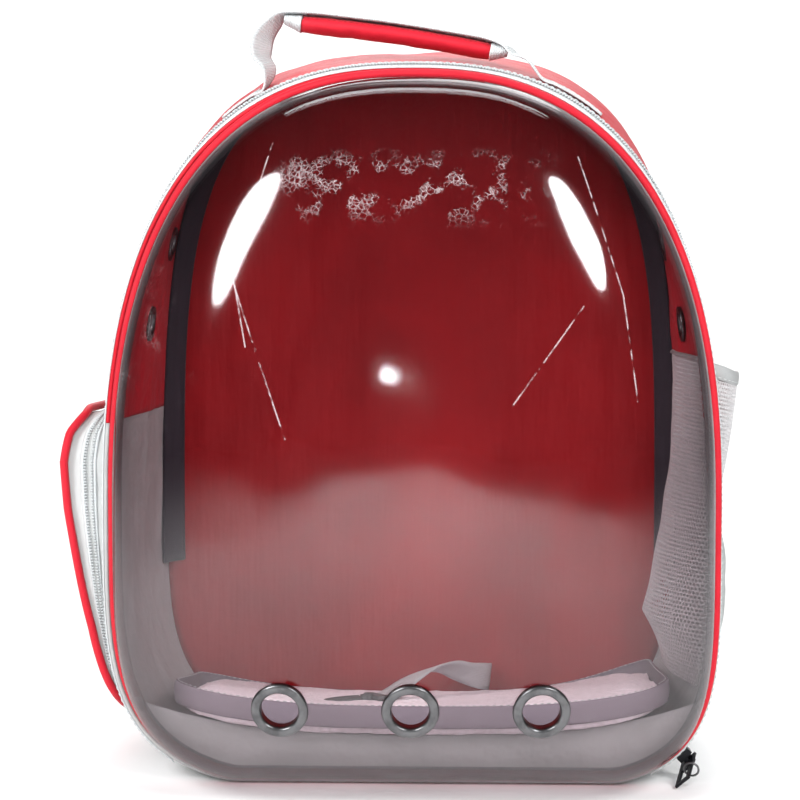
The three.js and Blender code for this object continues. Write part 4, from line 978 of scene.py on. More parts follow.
def build_dome():
    ring = offset(plain_loops(FINE)[0], -DOME_INSET)
    rows = [np.stack([ring[:, 0], np.full(FINE, RING_Y + y), ring[:, 1]], 1) for y in (DOME_TUCK, DOME_TUCK / 2)]
    for degrees in (0, 4, 9, 14, 20, 26, 32, 38, 44, 50, 56, 62, 67, 72, 76, 80, 83, 85.5, 87.5, 89, 89.8):
        turn = math.radians(degrees)
        shrink = math.cos(turn) ** (2 / DOME_POWER)
        y = RING_Y - DOME_DEPTH * math.sin(turn) ** (2 / DOME_POWER)
        rows.append(np.stack([ring[:, 0] * shrink, np.full(FINE, y),
                              RING["mid"] + (ring[:, 1] - RING["mid"]) * shrink], 1))
    shell = skin("bubble_shell", rows, closed_across=True, inside=(0, -60, 160))
    fill_hole(shell, (0, RING_Y - DOME_DEPTH, RING["mid"]), 40)
    face_out(shell, (0, -60, 160))
    thicken(shell, DOME_WALL)
    cutters = []
    for name, step in (("left", -1), ("center", 0), ("right", 1)):
        point, axis = dome_at(step * VENT_SPACING, VENT_HEIGHT)
        cutters.append(drill(VENT["bore"] + 1.1, 24, point, axis))
        place(eyelet("vent", VENT, DOME_WALL, point, axis), f"vent_{name}", "gunmetal", (f"front_eyelet_{name}",))
    cut(shell, cutters)
    shell.data.shade_smooth()
    paint(shell, finish("clear_plastic"))
    place(shell, "clear_dome", "clear_plastic", ("bubble_shell",))


def build_piping():
    ring = plain_loops(FINE * 2)[0]
    path = np.stack([ring[:, 0], np.full(len(ring), RING_Y), ring[:, 1]], 1)
    cord = tube("ring_piping", path, sizes().piping / MM, 16, closed=True)
    paint(cord, finish("red_cord"))
    place(cord, "ring_piping", "red_piping", ("front_piping",))
    inner = offset(ring, -DOME_INSET + 0.5)
    flange = skin("piping_flange", [
        np.stack([inner[:, 0] + 0, np.full(len(inner), RING_Y + y), inner[:, 1]], 1) for y in (1.0, 5.0, 9.0)
    ], closed_across=True, inside=(0, RING_Y, 160))
    thicken(flange, 1.6, 1.0)
    paint(flange, finish("red_cord"))
    place(flange, "piping_flange", "red_piping")


# Front zip

ZIP_WIDTH = 22
ZIP_EDGE = 2.5 + GAP * 1.5
ZIP_SHARE = 6 / 56


def build_front_zip():
    first, last = round(ZIP_SHARE * FINE), round((1 - ZIP_SHARE) * FINE)
    span = slice(first, last + 1)
    middle = ZIP_EDGE + ZIP_WIDTH / 2
    for name, low, high in (("front", ZIP_EDGE, middle - 1.2), ("rear", middle + 1.2, ZIP_EDGE + ZIP_WIDTH)):
        depths = np.linspace(low, high, 6)
        lift = [0.45, 0.75, 0.7, 0.7, 0.75, 0.45]
        rows = [body_ring(RING_Y + d, GAP + up)[span] for d, up in zip(depths, lift)]
        tape = skin(f"zip_tape_{name}", rows, inside=(0, 0, 200))
        thicken(tape, 0.75)
        paint(tape, finish("zip_tape"))
        place(tape, f"zip_tape_{name}", "webbing", ("front_zip",) if name == "front" else ())
    for name, shift in (("front", -1.0), ("rear", 1.0)):
        run = body_ring(RING_Y + middle + shift, GAP + 1.2)[span]
        up = run - body_ring(RING_Y + middle + shift, GAP - 2)[span]
        teeth = beads("teeth", [run], [up], sizes().tooth_pitch / MM, (1.35, 2.8, 1.9), finish("zip_coil"))
        place(teeth, f"zip_teeth_{name}", "webbing")
    seams, ups = [], []
    for d in (ZIP_EDGE + 1.6, ZIP_EDGE + ZIP_WIDTH - 1.6):
        run = body_ring(RING_Y + d, GAP + 0.95)[span]
        seams.append(run)
        ups.append(run - body_ring(RING_Y + d, GAP - 2)[span])
    place(stitches("sewn", seams, ups, finish("grey_thread")), "zip_stitches", "webbing")


# Fabric body

WALL_VENTS = (("low", 84, 271), ("high", 128, 322))


def wall_normal(side, y, z):
    low, high = wall_x(side, y, z - 3), wall_x(side, y, z + 3)
    return Vector((6 * side, 0, -(high - low) * side)).normalized()


def build_body():
    depths = np.linspace(RING_Y + 2.8, BACK_Y, 46)
    deep = sizes().crease / MM

    def creased(y):
        ring = body_ring(y)
        out = body_ring(y, 1.0) - ring
        fade = min((y - depths[0]) / 26, 1, max((BACK_Y - y) / 14, 0))
        for i, (x, _, z) in enumerate(ring):
            soft = ripple(x, y, z * 0.5, 46, 3) + 0.5 * ripple(x, y * 1.6, z, 19, 5)
            ring[i] += out[i] * (soft * deep * fade * (0.0 if z < 3 else 1.0) - 0.25)
        return ring

    rows = [creased(y) for y in depths]
    for name, material, slot, upper in (
        ("upper_wall", "red_shell", "red_fabric", True),
        ("lower_wall", "grey_shell", "grey_fabric", False),
    ):
        wall = skin(name, rows, closed_across=True, inside=(0, 0, 200))
        work = bmesh.new()
        work.from_mesh(wall.data)
        bmesh.ops.bisect_plane(work, geom=work.verts[:] + work.edges[:] + work.faces[:],
                               plane_co=(0, 0, (SPLIT + (0.1 if upper else -0.1)) * MM), plane_no=(0, 0, 1),
                               clear_inner=upper, clear_outer=not upper)
        work.to_mesh(wall.data)
        work.free()
        thicken(wall, WALL)
        if upper:
            cutters = []
            for side in (-1, 1):
                for _, depth, height in WALL_VENTS:
                    y = RING_Y + depth
                    point = (wall_x(side, y, height), y, height)
                    cutters.append(drill(WALL_VENT["bore"] + 1.1, 20, point, wall_normal(side, y, height)))
            cut(wall, cutters)
        wall.data.shade_smooth()
        paint(wall, finish(material))
        place(wall, name, slot, ("upper_body",) if upper else ("lower_body",))
        ring = body_ring(0.0)
        steps = np.linalg.norm(np.roll(ring, -1, 0) - ring, axis=1)
        length = steps[(ring[:, 2] > SPLIT) == upper].sum() * MM
    # Seams across the walls, where the front and rear bands of fabric meet
    runs, ups = [], []
    for y in (RING_Y + ZIP_EDGE + ZIP_WIDTH + 3.5, BACK_Y - 4):
        ring = body_ring(y, 0.25)
        keep = ring[:, 2] > 6
        order = np.concatenate([np.arange(len(ring))[keep]])
        run = ring[order]
        runs.append(run)
        ups.append((body_ring(y, 2.0) - body_ring(y, 0.0))[order])
    place(stitches("sewn", runs, ups, finish("red_thread")), "body_stitches", "red_fabric")


def build_wall_vents():
    for name, side in (("left", -1), ("right", 1)):
        for level, depth, height in WALL_VENTS:
            y = RING_Y + depth
            point = (wall_x(side, y, height), y, height)
            vent = eyelet("vent", WALL_VENT, WALL, point, wall_normal(side, y, height))
            place(vent, f"wall_vent_{name}_{level}", "gunmetal", (f"wall_eyelet_{name}_{level}",))


def build_back_panel():
    count = 160
    loop = offset(body_loop(BACK_Y - PANEL_WALL, count), -WALL - GAP)
    middle = np.array([0.0, 215.0])
    shares = np.concatenate([np.linspace(1, 0.1, 40), [0.04]])
    rows = []
    for share in shares:
        ring = middle + (loop - middle) * share
        fade = min((1 - share) * 7, 1)
        y = []
        for x, z in ring:
            drape = 2.3 * ripple(x * 1.3, 0, z * 0.45, 70, 2) + 1.1 * ripple(x, 0, z * 0.7, 26, 8)
            fold = 1.6 * math.exp(-(((x + 85 - (z - 200) * 0.25) / 9) ** 2)) * (0.5 + 0.5 * math.sin(z / 30))
            y.append(BACK_Y - PANEL_WALL + 0.8 - fade * (2.4 + drape + fold))
        rows.append(np.stack([ring[:, 0], y, ring[:, 1]], 1))
    panel = skin("back_lining", rows, closed_across=True, inside=(0, 400, 200))
    fill_hole(panel, (0, BACK_Y - PANEL_WALL, 215), 30)
    face_out(panel, (0, 400, 200))
    thicken(panel, 1.6)
    panel.data.shade_smooth()
    paint(panel, finish("red_satin"))
    place(panel, "back_lining", "red_satin", ("back_panel",))
    area = 0.5 * abs(np.dot(loop[:, 0], np.roll(loop[:, 1], 1)) - np.dot(loop[:, 1], np.roll(loop[:, 0], 1)))
    # The outer face of the same panel, in grey
    rows = []
    for share in shares[::4]:
        ring = middle + (loop - middle) * share
        rows.append(np.stack([ring[:, 0], np.full(count, BACK_Y - 0.4), ring[:, 1]], 1))
    outer = skin("outer_back", rows, closed_across=True, inside=(0, -400, 200))
    fill_hole(outer, (0, BACK_Y, 215), 30)
    face_out(outer, (0, -400, 200))
    thicken(outer, 0.8)
    paint(outer, finish("grey_shell"))
    place(outer, "outer_back", "grey_fabric")


def build_rear_binding():
    first = round(FINE * 10 / 56)
    span = slice(first, FINE - first + 1)
    depth, inner = BACK_Y - PANEL_WALL - GAP, -WALL - GAP
    section = [(depth, inner - 11), (depth - 2.4, inner - 10.8), (depth - 5, inner - 6.5), (depth - 6.6, inner - 4.6),
               (depth - 10.6, inner - 2.2), (depth - 11, inner)]
    rows = [body_ring(y, out)[span] for y, out in section]
    tape = skin("rear_seam_tape", rows, inside=(0, 300, 200))
    thicken(tape, 0.9, 1.0)
    paint(tape, finish("dark_tape"))
    place(tape, "rear_seam_tape", "dark_tape", ("rear_binding",))


MAT = {"half": 150, "shift": 4, "thick": 16, "front": 46, "back": 19, "corner": 34, "left": 14, "right": 26}
MAT_FRONT = RING_Y - 4
MAT_BACK = BACK_Y - PANEL_WALL - GAP


def mat_top(x, y):
    forward = min(max((MAT_BACK - y) / (MAT_BACK - MAT_FRONT), 0), 1)
    side = (x - MAT["shift"]) / MAT["half"]
    curl = MAT["left"] if side < 0 else MAT["right"] * (1 - 0.45 * forward)
    return MAT["back"] + (MAT["front"] - MAT["back"]) * forward + curl * abs(side) ** 3


def build_facing():
    inner = -WALL - GAP
    section = [(9.4, inner - 0.1), (9.3, inner - 1.3), (14, inner - 1.5), (22, inner - 1.5), (31.2, inner - 1.3),
               (31.3, inner - 0.1)]
    rows = [body_ring(RING_Y + d, out) for d, out in section]
    strip = skin("inner_facing", rows, closed_across=True, inside=(0, RING_Y + 20, 600))
    face_out(strip, (0, RING_Y + 20, 5000))
    paint(strip, finish("grey_inside"))
    # Sill: a soft upright wall under the front of the mat
    half = RING["half_width"] * 0.95
    wide = np.linspace(-half, half, 70)
    rows = []
    for share in np.linspace(0, 1, 9):
        row = []
        for x in wide:
            low = body_floor(x) + 0.4
            top = max(mat_top(x, RING_Y + 13) - MAT["thick"] - GAP, low + 1)
            z = low + (top - low) * share
            bow = 1.6 * math.sin(math.pi * share) + 0.9 * ripple(x, 0, z, 20, 4)
            row.append((x, RING_Y + 10.6 - bow, z))
        rows.append(row)
    sill = skin("sill", rows, inside=(0, 300, 20))
    thicken(sill, 4.5)
    paint(sill, finish("grey_inside"))
    both = join("inner_facing", [strip, sill])
    place(both, "inner_facing", "grey_fabric", ("front_facing",))


def body_floor(x):
    loop = offset(body_loop(round(RING_Y + 13.0, 3)), -WALL - GAP)
    points = loop[loop[:, 1] < RING["mid"]]
    points = points[np.argsort(points[:, 0])]
    return float(np.interp(x, points[:, 0], points[:, 1]))


# Floor mat

def rounded(half_a, half_b, corner, per_corner):
    points = []
    for a, b, start in ((1, 1, 0), (-1, 1, 90), (-1, -1, 180), (1, -1, 270)):
        for i in range(per_corner + 1):
            turn = math.radians(start + 90 * i / per_corner)
            points.append((a * (half_a - corner) + corner * math.cos(turn),
                           b * (half_b - corner) + corner * math.sin(turn)))
    return points


def even_loop(points, count):
    points = np.array(points + [points[0]], float)
    far = np.concatenate([[0], np.cumsum(np.hypot(*np.diff(points, axis=0).T))])
    goal = np.arange(count) / count * far[-1]
    return np.stack([np.interp(goal, far, points[:, 0]), np.interp(goal, far, points[:, 1])], 1)


def build_mat():
    middle_y, half_depth = (MAT_FRONT + MAT_BACK) / 2, (MAT_BACK - MAT_FRONT) / 2
    loop = even_loop(rounded(MAT["half"], half_depth, MAT["corner"], 10), 150)

    def inside_body(x, y, z):
        """Keeps a point of the mat within the walls and the dome."""
        if y > RING_Y + 3:
            edge_right, edge_left = wall_x(1, y, z) - WALL - 3.5, wall_x(-1, y, z) + WALL + 3.5
        else:
            edge_right, edge_left = RING["half_width"] - 18, -RING["half_width"] + 18
        return min(max(x, edge_left), edge_right)

    rows = []
    shares = [0.03, 0.15, 0.3, 0.45, 0.6, 0.74, 0.86, 0.94, 0.98]
    for lower in (False, True):
        for share in (shares if not lower else shares[::-1]):
            row = []
            for a, b in loop:
                x, y = MAT["shift"] + a * share, middle_y + b * share
                drop = MAT["thick"] - 1 if lower else 0
                edge = 1.6 * max(share - 0.86, 0) / 0.12
                z = mat_top(x, y) - drop + (edge if lower else -edge)
                if not lower:
                    z += 0.8 * ripple(x, y, 0, 24, 6)
                row.append((inside_body(x, y, z), y, z))
            rows.append(row)
    mat = skin("fleece_mat", rows, closed_across=True, caps=True)
    puff(mat, pressure=2.5, cap=2.5, voxel=5.0, frames=14)
    push(mat, lambda p, n: 0.45 * ripple(p.x, p.y, p.z, 4.0, 1) + 0.6 * ripple(p.x, p.y, p.z, 11, 2) - 0.9)
    paint(mat, finish("fleece"))
    place(mat, "fleece_mat", "fleece", ("floor_mat",))
    # Binding folded round the edge, with its stitches
    rows, top_run, ups = [], [], []
    for a, b in loop:
        x, y = MAT["shift"] + a, middle_y + b
        out = Vector((a / MAT["half"] ** 2, b / half_depth ** 2, 0)).normalized()
        section = []
        for i in range(11):
            turn = math.pi * (0.5 - i / 10)
            back = 3.2 + 1.6 * math.cos(turn)
            z = mat_top(x, y) - 5.8 + 6.8 * math.sin(turn)
            px = inside_body(x - out.x * (4.6 - back), y, z)
            section.append((px, y - out.y * (4.6 - back), z))
        rows.append(section)
        top_run.append((inside_body(x - out.x * 3.2, y, 40), y - out.y * 3.2, mat_top(x, y) + 0.9))
        ups.append((0, 0, 1))
    edge = skin("mat_edge_tape", rows, closed_along=True, inside=(4, -3, 25))
    thicken(edge, 1.2)
    paint(edge, finish("mat_edge"))
    place(edge, "mat_edge_tape", "mat_edge", ("mat_binding",))
    place(stitches("sewn", [top_run + top_run[:1]], [ups + ups[:1]], finish("grey_thread")), "mat_stitches", "mat_edge")


# Tether

TETHER = ((48, 81.4, 9.5, 84), (45, 72, 10, 78), (39, 58, 12, 64), (30, 44, 15, 45), (20, 26, 19, 30),
          (8, 6, 18, 20), (-4, -12, 12, 10), (-14, -26, 5, 4), (-22, -36, 1.2, 0))


def ribbon(name, centres, acrosses, width, thickness, columns=7):
    """Flat webbing along a line, its width along a direction at each point."""
    centres = np.array(centres, float)
    ahead = np.gradient(centres, axis=0)
    rows = []
    for at, along, across in zip(centres, ahead, acrosses):
        along = Vector(along).normalized()
        side = (Vector(across) - along * Vector(across).dot(along)).normalized()
        up = side.cross(along)
        face = [(s, 0.5) for s in np.linspace(-0.5, 0.5, columns)]
        back = [(s, -0.5) for s in np.linspace(0.5, -0.5, columns)]
        rows.append([
            Vector(at) + side * (s * width) + up * (t * thickness * (1.0 if abs(s) < 0.45 else 0.72))
            for s, t in face + back
        ])
    piece = skin(name, rows, closed_across=True, caps=True)
    return paint(piece, finish("webbing"))


def build_tether():
    route = [(x, y, mat_top(x, y) + 0.75 + GAP + over, turn) for x, y, over, turn in TETHER]
    fine = smooth_path(route, 40)
    turns = np.radians(fine[:, 3])
    acrosses = [(math.cos(t) * 0.72, -math.cos(t) * 0.7, math.sin(t)) for t in turns]
    strap = ribbon("tether_webbing", fine[:, :3], acrosses, 18, 1.5)
    far = np.linalg.norm(np.diff(fine[:, :3], axis=0), axis=1).sum() * MM
    tip = Vector(fine[-1, :3])
    hook = snap_hook("tether_snap", tip)
    place(strap, "tether_webbing", "webbing", ("tether_strap",))
    place(hook, "tether_snap", "dark_plastic", ("tether_hook",))
    [c * MM for c in fine[0, :3]]
    (fine[:, :3] * MM).tolist()


def snap_hook(name, tip):
    """A moulded snap hook: an eye for the webbing, a swivel neck, and a hook with a sprung gate."""
    parts = []
    hook_line = [(9 + 12 * math.cos(t) - 3, 5.0 * math.sin(t)) for t in np.linspace(0.45, 2 * math.pi - 0.75, 28)]
    path = [(x - 14, y, 0) for x, y in hook_line]
    parts.append(tube("hook", path, 2.1, 14))
    parts.append(tube("gate", [(5.6 - 14, 4.6, 0), (12.0 - 14, 5.0, 0), (17.4 - 14, 2.4, 0)], 1.35, 12))
    parts.append(tube("neck", [(3.5, 0, 0), (6, 0, 0), (6.5, 0, 0), (11, 0, 0)], 2.7, 16))
    parts.append(tube("collar", [(6.2, 0, 0), (6.6, 0, 0), (8.2, 0, 0), (8.6, 0, 0)], 3.5, 16))
    eye = [(11.5, -10.5, 0), (15.5, -10.5, 0), (15.5, 10.5, 0), (11.5, 10.5, 0)]
    eye = [tuple(p) for p in smooth_path(eye + eye[:1], 40)][:-1]
    parts.append(tube("eye", eye, 1.9, 10, closed=True))
    for part in parts:
        paint(part, finish("dark_plastic"))
    hook = join(name, parts)
    turn = Matrix.Rotation(math.radians(28), 4, "Z") @ Matrix.Rotation(math.radians(-6), 4, "X")
    shift = Matrix.Translation((tip + Vector((-14.0, -8.2, 1.6))) * MM)
    hook.data.transform(shift @ turn)
    return hook


# Mesh pouch on the right inner wall

MESH_SECTIONS = np.array([[0, 0.35], [0.18, 1.0], [0.4, 0.72], [0.62, 0.4], [0.82, 0.2], [1.0, 0.0]])


def build_inner_mesh():
    front, depth, low, high, bulge = RING_Y + 9.3 + 22 + 4, 118, 52, 200, 30

    def at(u, v):
        y, z = front + u * depth, low + v * high
        out = bulge * np.interp(v, MESH_SECTIONS[:, 0], MESH_SECTIONS[:, 1]) * math.sin(math.pi * u) ** 0.8
        soft = 1.2 * ripple(0, y, z, 22, 9) * math.sin(math.pi * u)
        return wall_x(1, y, z) - WALL - 1.2 - out - soft, y, z

    cell = sizes().net_cell / MM
    net = net_mesh("inner_net", at, round(depth / cell), round(high / cell))
    grow(net, threads_tree(), Thread=sizes().net_thread, Finish=finish("net"))
    place(net, "inner_net", "net", ("inner_mesh",))
    hem_line = [at(u, 0.995) for u in np.linspace(0, 1, 40)]
    hem = tube("inner_net_hem", hem_line, 1.7, 10, flatten=0.6)
    paint(hem, finish("grey_inside"))
    place(hem, "inner_net_hem", "grey_fabric")


# Left pocket

POCKET = {"low": 38, "high": 179, "width": 116, "stand": 29, "corner": 26, "wall": 2.2, "crown": 5,
          "middle": RING_Y + 86}
POCKET_SECTIONS = np.array([[0, 0.3], [0.12, 0.36], [0.28, 0.46], [0.48, 0.68], [0.68, 0.9], [0.84, 1.0],
                            [0.94, 0.93], [1.0, 0.72]])


def pocket_x(y, z, out):
    share = min(max((z - POCKET["low"]) / POCKET["high"], 0), 1)
    stand = POCKET["stand"] * np.interp(share, POCKET_SECTIONS[:, 0], POCKET_SECTIONS[:, 1])
    return wall_x(-1, y, z) - stand - out


def pocket_points(count=140):
    loop = even_loop(rounded(POCKET["width"] / 2, POCKET["high"] / 2, POCKET["corner"], 10), count)
    return loop, POCKET["middle"], POCKET["low"] + POCKET["high"] / 2


def pocket_ring(grow_by, share, more, count=140):
    loop, mid_y, mid_z = pocket_points(count)
    points = []
    for a, b in loop:
        y = mid_y + a * (1 + grow_by / (POCKET["width"] / 2))
        z = mid_z + b * (1 + grow_by / (POCKET["high"] / 2))
        wall = wall_x(-1, y, z)
        outer = pocket_x(y, min(max(z, POCKET["low"]), POCKET["low"] + POCKET["high"]), 0)
        points.append((wall + (outer - wall) * share - more, y, z))
    return points


def build_left_pocket():
    _, mid_y, mid_z = pocket_points()
    centre = (-185, mid_y, mid_z)
    rows = []
    for share in np.linspace(0, 1, 14):
        ring = np.array(pocket_ring(-0.3, share, 0.0))
        for i, (x, y, z) in enumerate(ring):
            ring[i, 1:] += (ring[i, 1:] - (mid_y, mid_z)) * 0.012 * ripple(x * 2, y, z, 14, 4)
        rows.append(ring)
    side = skin("pocket_side", rows, closed_across=True, inside=centre)
    thicken(side, 1.6)
    paint(side, finish("grey_pocket"))
    place(side, "pocket_side", "grey_fabric", ("pocket_gusset",))
    lines, ups = [], []
    for share in (0.44, 0.58):
        ring = pocket_ring(0.9, share, 0.0)
        lines.append(ring + ring[:1])
        up = [(0, y - mid_y, z - mid_z) for _, y, z in ring]
        ups.append(up + up[:1])
    teeth = beads("teeth", lines, ups, 1.8, (1.2, 2.2, 1.5), finish("zip_coil"))
    place(teeth, "pocket_zip_teeth", "webbing", ("pocket_zip",))
    for name, low, high in (("low", 0.34, 0.42), ("high", 0.60, 0.68)):
        tape = skin("tape", [pocket_ring(g, s, 0) for g, s in ((0.4, low), (0.7, (low + high) / 2), (0.4, high))],
                    closed_across=True, inside=centre)
        thicken(tape, 0.5)
        paint(tape, finish("zip_tape"))
        place(tape, f"pocket_zip_tape_{name}", "webbing")
    loop, _, _ = pocket_points(120)
    rows = []
    shares = [0.06, 0.25, 0.45, 0.65, 0.82, 0.93, 0.985]
    for under in (False, True):
        for share in (shares if not under else shares[::-1]):
            row = []
            for a, b in loop:
                y, z = mid_y + a * share, mid_z + b * share
                out = GAP * 2 + (POCKET["wall"] if not under else 0.2) + POCKET["crown"] * (1 - share ** 2)
                row.append((pocket_x(y, z, out), y, z))
            rows.append(row)
    panel = skin("pocket_front", rows, closed_across=True, caps=True)
    subdivide(panel)
    push(panel, lambda p, n: (0.9 * ripple(p.x, p.y, p.z * 0.6, 30, 3) + 0.4 * ripple(p.x, p.y, p.z, 12, 5) - 0.3)
         * max(-n.x, 0))
    panel.data.shade_smooth()
    paint(panel, finish("red_panel"))
    place(panel, "pocket_front", "red_fabric", ("pocket_panel",))
    ring = np.array(pocket_ring(2.8, 1.0, 0.0, 200))
    piping = tube("pocket_cord", ring, 2.5, 14, closed=True)
    paint(piping, finish("red_cord"))
    place(piping, "pocket_cord", "red_piping", ("pocket_piping",))


# Right side: bottle net and pouch

NET = {"middle": RING_Y + 90, "width": 104, "low": 166, "top": 250, "stand": 27, "foot": 7, "rim": 10}


def net_point(share, z, out):
    turn = math.pi * share
    rise = min(max((z - NET["low"]) / (NET["top"] - NET["low"]), 0), 1)
    bend = max(math.sin(turn), 0) ** 0.7
    stand = (NET["foot"] + (NET["stand"] - NET["foot"]) * rise ** 0.8) * bend
    half = (NET["width"] / 2) * (0.86 + 0.14 * rise)
    y = NET["middle"] - math.cos(turn) * half
    level = z - 9 * rise * bend
    outward = Vector((math.sin(turn) * half, -math.cos(turn) * (stand + 20), 0)).normalized()
    return Vector((wall_x(1, y, level) + stand, y, level)) + outward * out


def build_bottle_net():
    cell = sizes().net_cell / MM
    columns, rows = round(130 / cell), round((NET["top"] - NET["rim"] - NET["low"]) / cell)

    def at(u, v):
        return net_point(0.02 + 0.96 * u, NET["low"] + v * (NET["top"] - NET["rim"] - NET["low"]), 0.7)

    net = net_mesh("bottle_basket", at, columns, rows)
    grow(net, threads_tree(), Thread=sizes().net_thread * 1.1, Finish=finish("net"))
    place(net, "bottle_basket", "net", ("bottle_net",))
    rows = []
    for share in np.linspace(0.012, 0.988, 70):
        wave = 0.8 * math.sin(share * 19)
        section = []
        for i in range(12):
            turn = 2 * math.pi * i / 12
            z = NET["top"] - NET["rim"] / 2 + (NET["rim"] / 2) * math.sin(turn) + wave * 0.5
            section.append(net_point(share, z, 0.7 + 1.3 * math.cos(turn)))
        rows.append(section)
    rim = skin("bottle_rim_tape", rows, closed_across=True, caps=True)
    paint(rim, finish("grey_inside"))
    place(rim, "bottle_rim_tape", "grey_fabric", ("bottle_rim",))
    line = [net_point(s, NET["top"] - NET["rim"] + 2, 2.1) for s in np.linspace(0.03, 0.97, 60)]
    ups = [net_point(s, NET["top"] - NET["rim"] + 2, 4) - p for s, p in zip(np.linspace(0.03, 0.97, 60), line)]
    place(stitches("sewn", [line], [ups], finish("grey_thread")), "bottle_rim_stitches", "grey_fabric")


def build_lower_pouch():
    low, high, width, stand = 60, 102, 108, 11
    mid_y, mid_z = NET["middle"], low + high / 2
    loop = even_loop(rounded(width / 2, high / 2, 30, 10), 120)
    rows = []
    for share in [0.04, 0.2, 0.4, 0.6, 0.78, 0.9, 0.97, 1.0]:
        row = []
        for a, b in loop:
            y, z = mid_y + a * share, mid_z + b * share
            out = 0.5 + 1.4 + stand * (1 - share ** 3)
            soft = (0.9 * ripple(0, y, z, 26, 7) + 0.5 * ripple(0, y, z, 11, 3)) * min((1 - share) * 5, 1)
            row.append((wall_x(1, y, z) + out + soft, y, z))
        rows.append(row)
    pouch = skin("side_pouch", rows[::-1], closed_across=True, caps=False, inside=(150, mid_y, mid_z))
    fill_hole(pouch, (190, mid_y, mid_z), 12)
    face_out(pouch, (150, mid_y, mid_z))
    thicken(pouch, 1.4)
    pouch.data.shade_smooth()
    paint(pouch, finish("grey_shell"))
    place(pouch, "side_pouch", "grey_fabric", ("lower_pouch",))
    edge = [(wall_x(1, mid_y + a, mid_z + b) + 2.4, mid_y + a * 0.965, mid_z + b * 0.965) for a, b in loop]
    place(stitches("sewn", [edge + edge[:1]], [[(1, 0, 0)] * (len(edge) + 1)], finish("grey_thread")),
          "pouch_stitches", "grey_fabric")
    front = mid_y - width / 2 - 9
    tape_rows = []
    for u, out in ((0.2, 1.0), (3.5, 1.3), (6.8, 1.0)):
        tape_rows.append([(wall_x(1, front + u, z) + out, front + u, z) for z in np.linspace(66, 198, 60)])
    tape = skin("pouch_zip_tape", tape_rows, inside=(100, front, 130))
    thicken(tape, 0.9)
    paint(tape, finish("zip_tape"))
    place(tape, "pouch_zip_tape", "webbing", ("pouch_zip",))
    run = [(wall_x(1, front + 3.5, z) + 1.9, front + 3.5, z) for z in np.linspace(67, 197, 60)]
    place(beads("teeth", [run], [[(1, 0, 0)] * 60], 1.8, (1.2, 2.6, 1.4), finish("zip_coil")),
          "pouch_zip_teeth", "webbing")


# Handle

HANDLE_Y = RING_Y + 42
GRIP_LEFT = np.array([-68, HANDLE_Y, 451.5])
GRIP_RIGHT = np.array([45, HANDLE_Y, 434.8])
LEFT_LOOP = ((-88, 425, 18), (-92.5, 433, 34), (-91.5, 443, 38), (-85, 452, 24), (-78, 457.5, 10))
RIGHT_LOOP = ((53, 438.5, 16), (60, 433.5, 24), (68, 429.5, 10))


